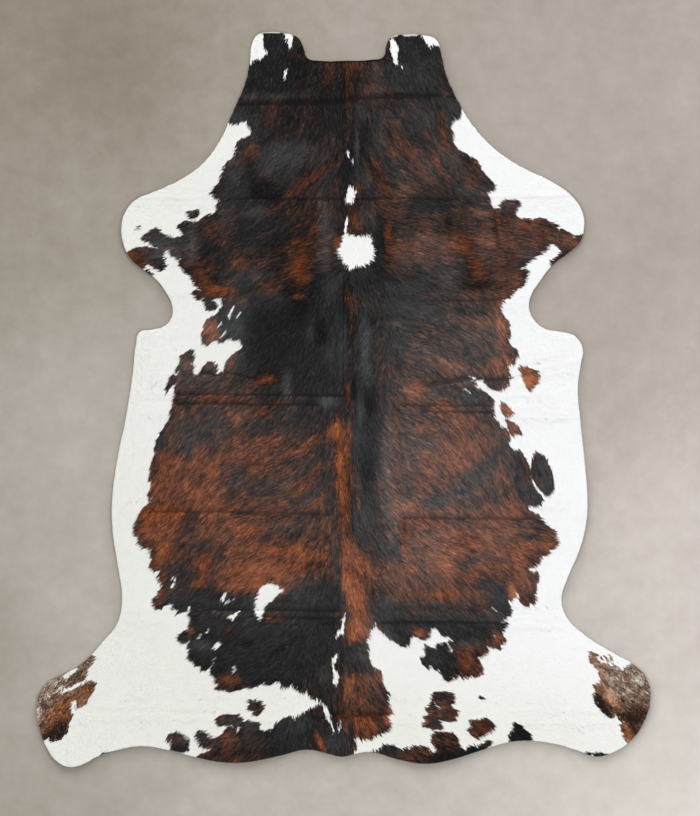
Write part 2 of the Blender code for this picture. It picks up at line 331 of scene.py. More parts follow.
OUTLINE = border_loop(bmesh.from_edit_mesh(cutter.data))
CUTTER_HIGH = 0.1
bpy.ops.mesh.select_all(action="SELECT")
bpy.ops.transform.resize(value=(1, 1, 0), center_override=(0, 0, 0))
bpy.ops.mesh.dissolve_limited(angle_limit=math.radians(1))
bpy.ops.mesh.select_all(action="SELECT")
bpy.ops.mesh.extrude_region_move(TRANSFORM_OT_translate={"value": (0, 0, CUTTER_HIGH)})
bpy.ops.mesh.select_all(action="SELECT")
bpy.ops.transform.translate(value=(0, 0, -CUTTER_HIGH / 2))
bpy.ops.mesh.normals_make_consistent(inside=False)
bpy.ops.object.mode_set(mode="OBJECT")
print("outline of", len(OUTLINE), "corners; cutter of", len(cutter.data.polygons), "faces")

# %% [markdown]
# ## How high the leather lies
# The hide was folded up for transport, and those folds still stand a few millimetres proud,
# as does the hem here and there. The heights are taken from the imported hide's underside with
# vertical rays on a fine net, evened out a little, and read between the net's points.
# The sharp bottom of each crease is a narrow groove, from a short table listed later.

# %% Heights of the underside
NET = 0.010
EDGE_ROOM = 0.03
EVENING_ROUNDS = 3
net_x = np.arange(LOW.x - EDGE_ROOM, HIGH.x + EDGE_ROOM + NET, NET)
net_y = np.arange(LOW.y - EDGE_ROOM, HIGH.y + EDGE_ROOM + NET, NET)
packed = BVHTree.FromObject(HIDE, bpy.context.evaluated_depsgraph_get())


def underside(x, y):
    """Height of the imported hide's underside over one place, or next to it outside the outline."""
    met = packed.ray_cast((x, y, -1), (0, 0, 1))[0]
    return (met or packed.find_nearest((x, y, 0))[0]).z


net_heights = np.array([[underside(x, y) for x in net_x] for y in net_y])
for _ in range(EVENING_ROUNDS):
    framed = np.pad(net_heights, 1, mode="edge")
    net_heights = (
        4 * net_heights
        + framed[:-2, 1:-1]
        + framed[2:, 1:-1]
        + framed[1:-1, :-2]
        + framed[1:-1, 2:]
    ) / 8


def read_net(values, x, y):
    """A net's value between its points."""
    i = np.clip((x - net_x[0]) / NET, 0, len(net_x) - 1.001)
    j = np.clip((y - net_y[0]) / NET, 0, len(net_y) - 1.001)
    i0, j0 = i.astype(int), j.astype(int)
    right, up = i - i0, j - j0
    near = values[j0, i0] * (1 - right) + values[j0, i0 + 1] * right
    far = values[j0 + 1, i0] * (1 - right) + values[j0 + 1, i0 + 1] * right
    return near * (1 - up) + far * up


lowest, highest = 1000 * net_heights.min(), 1000 * net_heights.max()
print("underside from", round(lowest, 2), "to", round(highest, 2), "mm")

# %% [markdown]
# ## The leather
# The leather starts as a flat grid, fine enough to bend over the folds. Solidify gives it its
# thickness, the cutter trims it to the outline, and each corner is then lifted to its height.
# The cut edge stays square, as a knife leaves it.

# %% Leather sheet
LEATHER = 0.0025
CELL = 0.0125
MARGIN = 0.02
sides = (HIGH.x - LOW.x + 2 * MARGIN, HIGH.y - LOW.y + 2 * MARGIN)
bpy.ops.object.select_all(action="DESELECT")
bpy.ops.mesh.primitive_grid_add(
    x_subdivisions=round(sides[0] / CELL),
    y_subdivisions=round(sides[1] / CELL),
    size=1,
    location=((LOW.x + HIGH.x) / 2, (LOW.y + HIGH.y) / 2, 0),
)
leather = bpy.context.object
leather.name = "hide_skin"
bpy.ops.transform.resize(value=(sides[0], sides[1], 1))
bpy.ops.object.transform_apply(location=True, rotation=True, scale=True)


def add_modifier(thing, kind, **settings):
    """Adds a modifier and applies it at once."""
    pick(thing)
    modifier = thing.modifiers.new(kind.lower(), kind)
    for name, value in settings.items():
        setattr(modifier, name, value)
    bpy.ops.object.modifier_apply(modifier=modifier.name)


add_modifier(leather, "SOLIDIFY", thickness=LEATHER, offset=0)
add_modifier(leather, "BOOLEAN", operation="INTERSECT", object=cutter, solver="EXACT")
bpy.data.objects.remove(cutter)
print("leather sheet of", len(leather.data.polygons), "faces")

# %% Lay the leather on its heights
corners = np.zeros(len(leather.data.vertices) * 3)
leather.data.vertices.foreach_get("co", corners)
corners = corners.reshape(-1, 3)
on_top = corners[:, 2] > 0
corners[:, 2] = read_net(net_heights, corners[:, 0], corners[:, 1]) + LEATHER * on_top
leather.data.vertices.foreach_set("co", corners.ravel())
leather.data.update()
print("leather top up to", round(corners[:, 2].max() * 1000, 2), "mm")

# %% [markdown]
# ## Markings
# The coat is white with one great dark patch over the back, dark islands round it, and two
# grizzled shanks. Nature draws these borders in small steps, so each border is a list of
# corners, read off section by section. The locks of hair fray them later.

# %% Border of the dark back, left side, from the neck down
LEFT_BORDER = {
    "neck": [
        (229, 122.5), (236, 125), (241, 121.5), (247, 121), (248.5, 126), (251, 131),
        (252, 133), (249, 136), (244, 139), (240, 140), (237, 143), (235.5, 148),
        (235.5, 151), (233, 158), (230, 160), (226, 163), (223.5, 167), (222.5, 172),
        (220, 177), (219, 183), (215, 186), (212, 191), (210, 193), (214, 197),
    ],
    "shoulder": [
        (218, 200), (219, 203), (216, 205), (216, 208), (217, 211), (214, 214),
        (210, 215.5), (206, 214), (203, 217), (200, 221), (196, 222), (190, 221),
        (184, 221.5), (180, 223), (177, 227), (178, 229), (182, 231), (183, 234),
        (181, 237), (176, 237.5), (172, 238.5), (168, 236), (163, 234.5), (160, 232),
    ],
    "foreleg": [
        (161, 229), (155, 228.5), (151, 230), (149, 233), (143, 235), (141, 239),
        (145, 241), (150, 244), (155, 246), (160, 249), (165, 250), (169, 250),
        (171, 255), (175, 257), (179, 261), (178, 264), (182, 267), (183, 270),
        (188, 275), (192, 280), (195, 285), (199, 290), (200, 297), (203, 300),
    ],
    "chest": [
        (205, 305), (207, 310), (211, 311.5), (215, 310), (217, 307), (216, 303),
        (213, 300), (216, 298), (220, 298), (223, 300), (222, 304), (220, 309),
        (217, 314), (213, 317), (209, 319), (206, 321), (204, 325), (202, 332),
        (201.7, 338), (203, 343.5), (207, 346), (211.5, 341.5), (215.5, 339.5), (218.5, 341.5),
        (223, 342), (226, 339), (229, 338), (233, 340), (238, 340), (241, 340),
        (241, 345), (244, 347), (240, 350), (234, 354), (229, 358), (226, 363),
        (224, 370), (219, 374), (215, 375), (217, 370), (217, 366), (214, 363),
        (209, 362), (205, 365), (202, 369), (199, 374), (196, 377), (193, 374),
        (194, 368), (192, 364), (194, 358), (193, 353), (194, 350), (190, 350),
        (185, 353), (181, 355), (180, 360), (178, 366), (175.5, 372),
    ],
    "flank": [
        (176, 372.5), (178.5, 374), (176, 376.5), (172.5, 374.5), (169, 379), (167, 385),
        (165.3, 390), (166.5, 393), (168, 391), (170.5, 387), (173, 384.5), (176, 383.5),
        (175, 390), (173.5, 397), (172, 405), (169.5, 413), (170, 419), (167, 423), (164, 428),
        (160, 432), (158, 437), (156, 443), (154, 450), (155.5, 453), (153, 458), (151, 464),
        (150, 470), (149, 480), (152, 486), (150, 490), (147, 496), (149, 499), (151, 501),
        (149, 504), (145, 506), (142, 510), (139, 515), (137, 520), (134, 526),
    ],
    "belly": [
        (133.5, 530), (134.5, 536.5), (139.5, 537.5), (137, 542), (140, 545),
        (142, 548.5), (149, 548.5), (150, 551.5), (151.5, 558.5), (148.5, 567),
        (154, 571), (160.5, 570.5), (157, 577), (159, 582), (162, 587), (159, 591),
        (158, 594), (154, 598), (152, 601), (153, 606), (156, 609.5), (161, 609.5),
        (164, 605.5), (170, 604), (173, 609.5), (177.5, 610), (176.5, 615.5),
        (180, 612), (185, 612), (187, 608), (192, 604.5), (188.5, 610), (188, 615),
    ],
    "thigh": [
        (190.5, 618), (189, 624), (188.5, 630), (186.5, 633), (185, 630.5),
        (178, 635), (177.5, 640), (180, 642.5), (185, 643), (191, 639.5),
        (187.5, 645), (188, 649), (188.5, 652), (187.5, 658), (190, 661),
        (194, 663), (194.5, 666), (200, 667), (201, 671.5), (206, 670), (210, 667),
        (213, 662), (214.5, 656), (215, 660), (210.5, 670), (210, 672.5),
    ],
    "rump": [
        (212, 676), (215, 677.5), (214.4, 682.8), (218.6, 684), (214.4, 689.4),
        (222.8, 690), (231.2, 691.8), (238.4, 690.6), (246.8, 687), (250.4, 688.8),
        (256.4, 687), (261.2, 684), (269.6, 685.2), (274.4, 682.8), (281.6, 681.6),
        (280.4, 688.8), (287.6, 687.6), (291.2, 685.2), (297.2, 689.4), (303.2, 693.6),
        (306.8, 690.6), (308, 694.8), (314, 699.6), (322.4, 702), (324.8, 704.4),
        (328.4, 708), (330.8, 717.6), (335, 732), (333.2, 733.2), (329.6, 723.6),
        (327.2, 722.4), (324.8, 715.2), (322.4, 706.8), (318.8, 705.6), (312.8, 708),
        (306.8, 711.6), (302, 714), (297.2, 717), (296, 720), (291.2, 717),
    ],
    "hem": [
        (284, 718.2), (275.6, 723.6), (273.2, 729.6), (264.8, 731.4), (258.8, 730.2),
        (260, 723.6), (254, 722.4), (248, 720.6), (243.2, 722.4), (240.8, 727.2),
        (237.2, 732.6), (233.6, 726), (227.6, 727.8), (222.8, 733.2), (218, 738),
        (212, 739.8), (209.6, 736.8), (204.8, 733.2), (197, 730.8), (194.6, 736.8),
        (198.8, 742.8), (200, 747), (206, 748.2), (212.6, 750), (204.8, 752.4),
        (200, 754.8), (196.4, 757.2),
    ],
}
print(sum(map(len, LEFT_BORDER.values())), "corners on the left")

# %% Border of the dark back, right side, from the neck down
RIGHT_BORDER = {
    "neck": [
        (461, 109), (460, 118), (456, 120), (452, 122), (450, 126), (452, 131),
        (454, 136), (452, 141), (455, 146), (459, 150), (463, 153), (467, 154),
        (470, 157), (475, 159), (479, 162), (481, 167), (483, 172), (487, 176),
        (490, 180), (494, 183), (495, 186), (494, 190), (490, 191), (487, 194),
    ],
    "shoulder": [
        (490, 198), (490, 203), (492, 207), (497, 209), (501, 208), (499, 206),
        (502, 203), (506, 200), (511, 200), (516, 200), (520, 201), (521, 205),
        (518, 207), (517, 210), (514, 214), (518, 218), (523, 219), (530, 218.5),
        (533, 220), (537, 219), (541, 218), (546, 219), (548, 222), (553, 223),
        (558, 225), (557, 230), (562, 229), (566, 231), (569, 233), (573, 234),
        (572, 238), (575, 238), (577, 236), (583, 234),
    ],
    "foreleg": [
        (594, 238), (580, 262), (556, 274), (550, 266), (552, 261), (557, 257),
        (560, 253), (561, 249), (556, 245), (553, 243), (549, 247), (545, 251),
        (541, 254), (537, 256), (534, 259), (529, 261), (527, 264), (523, 267),
        (520, 268), (521, 270), (525, 269), (528, 271), (528, 274), (526, 280),
    ],
    "chest": [
        (524, 284), (521, 288), (518, 288), (515, 291), (512, 295), (509, 298),
        (504, 301), (501.5, 305), (500.5, 310), (501.5, 314), (505.5, 318), (508.5, 321),
        (510, 327), (510, 334), (509, 340), (509.5, 343), (512.5, 347), (517.5, 350),
        (518, 354), (516.5, 359), (514, 364), (511, 365.5), (507, 364.5), (509, 369),
        (510, 374), (511.5, 378), (509, 382), (508, 386), (505, 389), (501, 390.5),
        (496, 390), (490, 388), (486, 384), (483, 382), (479, 380), (475, 377),
        (470, 376), (471, 377.5), (474, 380), (477, 383), (474, 386.5), (476.5, 389),
    ],
    "flank": [
        (481, 390), (486, 393), (490, 397), (494, 400), (494, 405), (494, 410),
        (495, 413), (494, 418), (498, 421), (500, 427), (504, 428), (507, 430),
        (509, 434), (511, 439), (508, 443), (511, 448), (515, 452), (520, 450),
        (523, 455), (526, 459), (529, 465), (530, 471), (531, 478), (533, 485),
        (536, 490), (540, 494), (543, 498), (542, 502), (541, 505), (536, 506),
    ],
    "belly": [
        (531, 506), (527, 508), (530, 511), (535, 514), (540, 515), (542, 519),
        (545, 524), (551, 529), (555.5, 530), (556.5, 536), (559, 542), (558, 546.5),
        (551, 550.5), (546, 556.5), (542, 555), (540.5, 562), (538, 565),
        (534.5, 567.5), (527.5, 568), (531, 573), (538, 573), (539.5, 578),
        (536.5, 584), (537, 590), (534.5, 594), (536.5, 599), (535, 604), (530, 605),
        (526, 607), (523, 605), (519, 600), (520, 595), (517, 591), (515, 598),
    ],
    "thigh": [
        (512, 602), (509, 599), (508, 602), (512, 609), (511, 615), (506, 618),
        (502, 620), (508, 623), (506, 627), (503, 630), (501.5, 636), (506, 638),
        (505.5, 642), (500.5, 645), (500, 649.5), (493, 647.5), (488.5, 648),
        (487.5, 653), (482, 656.5), (477.6, 658.8), (481.2, 664.8), (483.6, 670.8),
        (481.2, 674.4), (476.4, 678), (469.2, 676.8), (463.2, 679.2), (459.6, 675.6),
        (456, 678), (448.2, 682.2), (444, 679.2), (441.6, 673.2), (435.6, 670.8),
    ],
    "rump": [
        (432, 665.4), (428.4, 669.6), (423, 666), (420.6, 660), (426, 656.4),
        (424.8, 651.6), (426, 645), (432, 648), (435.6, 648), (438, 644.4),
        (442.8, 643.8), (445.2, 642), (451.8, 640.8), (448.8, 636.6), (441, 636),
        (439.2, 630.6), (435.6, 627.6), (432, 628.8), (430.2, 632.4), (428.4, 638.4),
        (422.4, 639.6), (415.2, 636.6), (409.8, 639.6), (408, 647.4), (400.8, 646.8),
        (396, 642), (390, 639.6), (382.8, 632.4), (378, 628.8), (375, 621.6),
    ],
    "tail": [
        (374.4, 626.4), (369, 631.2), (370.8, 636), (364.8, 640.8), (368.4, 645.6),
        (368.4, 652.8), (369.6, 660), (372, 667.2), (374.4, 669.6), (380.4, 669.6),
        (381.6, 675.6), (382.8, 681.6), (385.2, 688.8), (390, 694.8), (387.6, 700.8),
        (390, 708), (393, 715.2), (388.8, 716.4), (388.8, 720), (391.8, 726),
        (387.6, 732), (380.4, 734.4), (374.4, 736.8), (372, 739.8), (366, 739.8),
        (361.2, 740.4), (358.8, 737.5), (356, 737), (354, 741), (357, 746),
        (355, 750), (352.6, 754.8),
    ],
}
ABOVE_NECK = [(480, 100), (480, 20), (200, 20), (200, 100)]
BELOW_HEM = [(196, 778), (352, 778)]
down_left = [corner for section in LEFT_BORDER.values() for corner in section]
down_right = [corner for section in RIGHT_BORDER.values() for corner in section]
DARK_BACK = down_left + BELOW_HEM + down_right[::-1] + ABOVE_NECK
print("dark back of", len(DARK_BACK), "corners")

# %% Dark islands
ISLANDS = {
    "left foreleg tip": [
        (112, 252), (127, 252), (132, 248.5), (142, 246.5), (150, 247.5), (158, 249),
        (165, 250.5), (163, 256), (165, 259), (164, 263), (166, 267), (163, 270),
        (160, 272), (155, 268), (150, 265), (147, 264), (145, 267), (140, 272), (118, 268),
    ],
    "left foreleg hem": [(144, 270.5), (147.5, 269.5), (153, 275), (151.5, 278), (144, 274)],
    "left shoulder spot": [
        (187, 211), (192, 211), (197, 209), (199, 213), (198, 217), (192, 219), (188, 218),
    ],
    "left foreleg dot": [(136.8, 226), (139.8, 226), (139.8, 229), (136.8, 229)],
    "left chest thorn": [
        (193, 289), (199, 292), (200, 300), (197, 300), (195, 297), (192, 294),
    ],
    "right rib arrow": [
        (520.5, 366), (528.5, 368), (534, 370), (539.5, 371), (539, 378), (537.5, 386),
        (534, 386.5), (530, 391.5), (527, 388), (524, 382), (521.5, 375), (519.5, 371),
    ],
    "right rib upper": [
        (501, 402), (505, 404), (510, 408), (515, 414), (511, 416), (506, 417),
        (502, 413), (500, 408),
    ],
    "right rib lower": [
        (505, 419), (510, 421), (515, 423), (519, 427), (521, 433), (520, 436),
        (517, 434), (514, 438), (510, 434), (508, 428),
    ],
    "right flank leaf": [
        (535, 451.5), (540, 454), (545, 457), (549, 464), (552, 472), (554.3, 482),
        (554, 489), (550.5, 494.5), (548.5, 497), (544.5, 495), (540, 490), (535.5, 483.5),
        (531.5, 476), (530.5, 470), (531.5, 462), (533.5, 457),
    ],
    "left rump upper": [
        (248, 700.2), (254, 700.8), (261.2, 702), (264.2, 706.8), (261.2, 712.8),
        (256.4, 716.4), (252.8, 714), (248, 709.2), (249.2, 704.4),
    ],
    "left rump middle": [
        (214.4, 720), (218, 716.4), (227.6, 714.6), (238.4, 714.6), (243.2, 720),
        (240.8, 726), (233.6, 725.4), (227.6, 726), (220.4, 726.6), (216.8, 723.6),
    ],
    "left rump outer": [
        (165.8, 739.4), (168.8, 734), (176, 732.2), (184.4, 736.4), (189.8, 741.2),
        (188.6, 746), (189.8, 750.2), (182, 752.6), (170, 750.2), (171.2, 743.6),
        (167, 742.4),
    ],
    "right rump upper": [
        (431.4, 694.8), (438, 691.2), (450, 692.4), (454.2, 694.8), (454.2, 703.2),
        (450, 705.6), (458.4, 710.4), (456, 720), (450.6, 722.4), (439.2, 720),
        (442.8, 727.2), (441.6, 730.2), (434.4, 729.6), (421.8, 726.6), (426, 721.2),
        (423.6, 718.2), (428.4, 715.2), (426, 709.2), (432, 703.2),
    ],
    "right rump hem": [
        (370, 752), (375.6, 751.2), (381.6, 747.6), (382.8, 745.2), (394.8, 745.2),
        (399.6, 750), (408, 748.8), (412.8, 746.4), (422.4, 746.4), (429, 747.6),
        (432, 754.8), (436.8, 749.4), (433.2, 744), (429.6, 739.2), (434.4, 730.8),
        (444, 732.6), (453.6, 732.6), (458.4, 739.2), (460.8, 748.8), (465.6, 750),
        (471.6, 745.8), (477.6, 747.6), (483.6, 743.4), (490.8, 739.8), (493.8, 741.6),
        (486, 748.8), (484, 772), (372, 772),
    ],
    "right rump outer": [
        (469.8, 721.2), (477.6, 720), (486, 718.2), (492, 721.2), (495.6, 727.2),
        (490.8, 732), (484.8, 735.6), (478.8, 739.8), (471.6, 735.6), (468, 732),
        (471, 727.2),
    ],
    "right rump dot": [(481, 697), (483.5, 697), (483.5, 699.5), (481, 699.5)],
    "right heel wedge": [
        (513.6, 724.4), (519.6, 723.8), (525.6, 730.4), (531.6, 735.2), (531.8, 740.6),
        (531, 747), (509, 747), (508.8, 736.4), (511.8, 731.6),
    ],
    "right heel hem": [
        (584.4, 752), (588, 752.6), (593.4, 753.2), (598.8, 753.2), (608.4, 753.8),
        (604, 764), (588, 762),
    ],
    "left heel hem": [(100, 755), (104, 752.6), (108.2, 752), (107, 760), (101, 760)],
}
print(len(ISLANDS), "dark islands")

# %% White marks inside the dark
WHITE_MARKS = {
    "blaze": [
        (342, 235), (350, 233), (356, 235), (365, 234), (372, 235), (373.5, 243),
        (376, 252), (374, 260), (368, 266), (358, 268), (351, 270), (348, 272),
        (346, 267), (340, 260), (336, 252), (338, 247), (341, 242),
    ],
    "spine mark at the shoulder": [
        (347, 188.5), (349.5, 185.5), (352, 184.5), (352.5, 187.5), (355, 189.5), (359, 190.5),
        (357, 194.5), (355.5, 198), (355.5, 203.5), (351, 205.5), (346, 204.5), (345, 196),
    ],
    "left ear, tip": [
        (243, 63), (247, 40), (250, 30), (263.5, 30), (264, 36), (264.5, 45), (266, 50),
        (269, 53), (264, 57), (261, 61), (255, 61), (251, 64),
    ],
    "left ear, inner": [
        (284.3, 30), (294.2, 30), (293.4, 40), (292.6, 46), (290.6, 51.5), (288.3, 50.5),
        (287.6, 45), (286, 41), (284.6, 38),
    ],
    "right ear, inner": [
        (389, 38), (393, 35.5), (396, 41), (398.8, 45.5), (399.6, 50), (398, 56.5),
        (399.2, 63), (396.8, 67.5), (392.6, 62), (391, 55), (389, 49), (389.6, 45),
    ],
    "right ear, corner": [
        (421, 30), (440, 30), (445, 50), (440, 50), (437, 47.5), (434, 45), (432, 46),
        (430, 49), (426.5, 44), (423, 40), (421, 36),
    ],
    "left loin": [
        (268, 581.7), (278, 585), (285, 591), (278, 596), (272.5, 601.6),
        (266.7, 605.7), (264.2, 611.5), (264.2, 617.3), (260, 623), (256.7, 617.3),
        (254.2, 609), (252.6, 602.4), (256, 596), (259, 587.5),
    ],
    "left loin, small": [
        (227, 591.2), (228.5, 594), (224.5, 601.5), (219, 602), (221.5, 595),
    ],
    "left thigh, upper": [
        (242, 609.5), (237, 616), (234, 621.5), (230, 620), (226, 618), (230, 614.5),
        (234, 613),
    ],
    "left thigh, lower": [
        (217.5, 639.5), (221.5, 644), (219, 648), (215.5, 651.5), (211.5, 649.5),
        (214, 644),
    ],
    "spine mark at the loin": [
        (346.4, 610.8), (345.2, 624), (345.2, 636), (339.2, 636), (335.6, 639.6),
        (334.4, 634.8), (339.8, 630), (341.6, 620.4),
    ],
    "spine mark at the rump": [
        (335.6, 652.8), (339.2, 655.2), (338, 661.2), (334.4, 667.2), (338, 672),
        (340.4, 676.8), (339.2, 684), (335.6, 687), (332, 682.8), (333.2, 675.6),
        (331.4, 667.2), (330.8, 658.8),
    ],
}
WHITE_SLIVERS = (
    # from left, top, to left, top, width
    (347, 219, 345, 234, 3.0), (347, 151, 349.4, 158, 2.4), (349.4, 158, 354, 164.6, 2.4),
    (345, 102, 345, 104, 1.4), (346, 117, 346, 119, 1.4), (286, 69.5, 284.5, 79, 3.2),
    (255, 32.2, 284, 31.8, 2.2), (284, 31.8, 293, 34, 1.6), (390.5, 37.5, 396, 35, 1.6),
    (396, 35, 422, 34.2, 1.2), (401, 65, 403, 68, 2.4), (233, 307, 229, 317, 3.0),
    (240, 312, 237, 317, 2.4), (221, 323, 217, 328, 2.6), (226, 331, 221, 337, 2.6),
    (170, 480, 168, 484, 1.4), (175.5, 579, 171.5, 588, 2.4), (171, 578, 171, 580, 2.4),
    (465, 390, 471, 393, 2.0), (233.5, 600, 225, 603.5, 2.2), (207.8, 629, 207.8, 632, 3.4),
    (201, 634, 197.5, 640, 2.4), (233.5, 667, 233.5, 673, 3.0), (340.4, 721, 338.6, 734, 1.6),
    (495, 610, 498, 612, 1.8), (494.5, 633, 494.5, 636, 1.8), (446, 641, 451.5, 651, 2.4),
    (556, 231, 549, 241, 0.8), (433, 701.4, 438.8, 707.6, 1.8), (592, 750, 592.8, 758, 2.2),
)
print(len(WHITE_MARKS), "white marks and", len(WHITE_SLIVERS), "slivers")

# %% Grizzled shanks
SHANKS = {
    "left": [
        (94.4, 658.4), (92, 664.4), (87.2, 670.4), (86.6, 676.4), (84.8, 680),
        (92, 681.2), (95.6, 683), (94.4, 690.8), (89, 696.8), (86, 704), (81.2, 707),
        (76, 708.2), (75.6, 700.6), (71.4, 702), (70.8, 709.4), (74, 713.6), (71.6, 719.6),
        (68.6, 724.4), (68, 731.6), (60.8, 740), (54.8, 741.8), (49.4, 741.8),
        (48.2, 738.8), (43.4, 740.6), (30, 745), (25, 690), (50, 668), (90, 652),
    ],
    "right": [
        (589.4, 651.8), (592.8, 652.2), (599, 654.6), (597.4, 658.2), (600.5, 662.5),
        (604.5, 664.5), (608, 662.5), (610.5, 666), (616, 665.4), (619.8, 668), (622.8, 671.4),
        (626.4, 667.4), (632.4, 663.6), (642, 664), (660, 680), (660, 720), (640, 745),
        (627.6, 744.2), (623.4, 738.2), (623.4, 734), (620, 729), (620.6, 725.4), (622.6, 723),
        (618, 719), (616.6, 715), (612.4, 718.6), (609.6, 718.4), (600, 710), (594, 701.6),
        (593.4, 695.6), (597, 692), (594, 687.2), (600, 681.2), (598.8, 671.6), (589.2, 660.8),
    ],
}
SHANK_WHITES = (
    # from left, top, to left, top, width
    (84.8, 681.8, 60.8, 693.5, 3.6), (64, 677, 75, 669.4, 5.0), (66, 681, 69, 675, 2.0),
)
SHANK_WISPS = (
    (600.5, 656.5, 604, 661.5, 1.3), (605.5, 657, 608, 663, 1.5), (610, 655.5, 611.5, 660, 1.5),
    (612.5, 657, 613, 661, 1.3), (608, 660, 613, 664.5, 1.3), (46, 684.5, 56, 679, 1.4),
)
print(len(SHANKS), "shanks")

# %% [markdown]
# A spot is inside a closed border if a line from it to one side crosses the border an odd
# number of times. NumPy asks that of all the hairs at once, one border edge after another.
# A sliver is simply every spot that lies near enough to a short line.

# %% Inside a border, near a line
def inside(spots, corners):
    """True for each spot inside the closed border."""
    corners = np.asarray(corners, float)
    left, top = spots[:, 0], spots[:, 1]
    found = np.zeros(len(spots), bool)
    for (left0, top0), (left1, top1) in zip(corners, np.roll(corners, -1, axis=0)):
        if top0 != top1:
            level = (top0 > top) != (top1 > top)
            found ^= level & (left < left0 + (top - top0) * (left1 - left0) / (top1 - top0))
    return found


def off_line(spots, left0, top0, left1, top1):
    """Each spot's distance from a short line, and its share along it from 0 to 1."""
    start, way = np.array([left0, top0]), np.array([left1 - left0, top1 - top0])
    share = np.clip((spots - start) @ way / max(way @ way, 1e-9), 0, 1)
    return np.linalg.norm(spots - start - share[:, None] * way, axis=1), share


def drawn_out(corners, by):
    """A closed border moved outwards by so many pixels, or inwards below zero."""
    corners = np.asarray(corners, float)
    ahead = np.roll(corners, -1, axis=0)
    turn = np.sign((corners[:, 0] * ahead[:, 1] - ahead[:, 0] * corners[:, 1]).sum())
    along = ahead - np.roll(corners, 1, axis=0)
    along /= np.maximum(np.linalg.norm(along, axis=1), 1e-6)[:, None]
    return corners + np.stack([along[:, 1], -along[:, 0]], 1) * by * turn


LOCK_REACH = 0.4               # locks reach over a border by so many pixels
SHANK_REACH = 0.3              # the same at the white marks of a shank


def kind_of_coat(spots):
    """For each spot, whether its hair is dark, and whether it belongs to a grizzled shank."""
    dark = inside(spots, drawn_out(DARK_BACK, LOCK_REACH))
    for corners in ISLANDS.values():
        dark |= inside(spots, drawn_out(corners, LOCK_REACH / 2))
    for corners in WHITE_MARKS.values():
        dark &= ~inside(spots, drawn_out(corners, -2 * LOCK_REACH))
    for *line, width in WHITE_SLIVERS:
        dark &= off_line(spots, *line)[0] > width / 2 - LOCK_REACH
    shank = np.zeros(len(spots), bool)
    for corners in SHANKS.values():
        shank |= inside(spots, corners)
    for *line, width in SHANK_WHITES:
        shank &= off_line(spots, *line)[0] > width / 2 - SHANK_REACH
    for *line, width in SHANK_WISPS:
        shank |= off_line(spots, *line)[0] < width / 2
    return dark, shank


print("inside test on the whole rug:", inside(metres([(343.7, 300), (10, 10)]), OUTLINE))

# %% [markdown]
# ## The soft shadow painted round the rug
# The rug's edge keeps some of the light off the floor next to it, most of it past the lower
# hem, away from the low softbox. That soft shadow is painted into the floor's colour: the
# inside test marks a fine net, the marks are evened out, and the floor's corners read the
# result a little way up the rug.

# %% Shade on the floor
SHADE_CELL, SHADE_SOFT, SHADE_SHIFT, SHADE_STRENGTH = 2.0, 6.0, (1.0, 5.5), 0.40
across, down = np.arange(0.0, 700.0, SHADE_CELL), np.arange(-10.0, 826.0, SHADE_CELL)
marks = inside(metres(np.stack(np.meshgrid(across, down), -1).reshape(-1, 2)), OUTLINE)
marks = marks.reshape(len(down), len(across)).astype(float)
bell = np.exp(-0.5 * (np.arange(-10, 11) * SHADE_CELL / SHADE_SOFT) ** 2)
bell /= bell.sum()
for side in (0, 1):
    marks = np.apply_along_axis(np.convolve, side, marks, bell, mode="same")
floor_spots = spots_of([corner.co.xy for corner in near_floor.data.vertices])
i, j = ((floor_spots - SHADE_SHIFT - (across[0], down[0])) / SHADE_CELL).round().astype(int).T
i, j = np.clip(i, 0, len(across) - 1), np.clip(j, 0, len(down) - 1)
# painted shadow, as the share of the floor's colour taken away
painted_shadow_on_floor = SHADE_STRENGTH * marks[j, i]
shaded = near_floor.data.attributes.new("painted_shadow", "FLOAT", "POINT")
shaded.data.foreach_set("value", painted_shadow_on_floor)
print("light kept off the floor: up to", round(painted_shadow_on_floor.max(), 2))

# %% [markdown]
# ## The way the hair lies
# Hair grows away from the spine and back along the animal: straight down the back, steeply
# outwards on the neck, flatter over the shoulders, and along the legs. Two tables give that
# direction: one at a distance from the spine, for both sides, and one at single spots, where
# the photograph shows it. Between the rows, directions blend by nearness. On the white blaze
# the hair springs from one whorl.

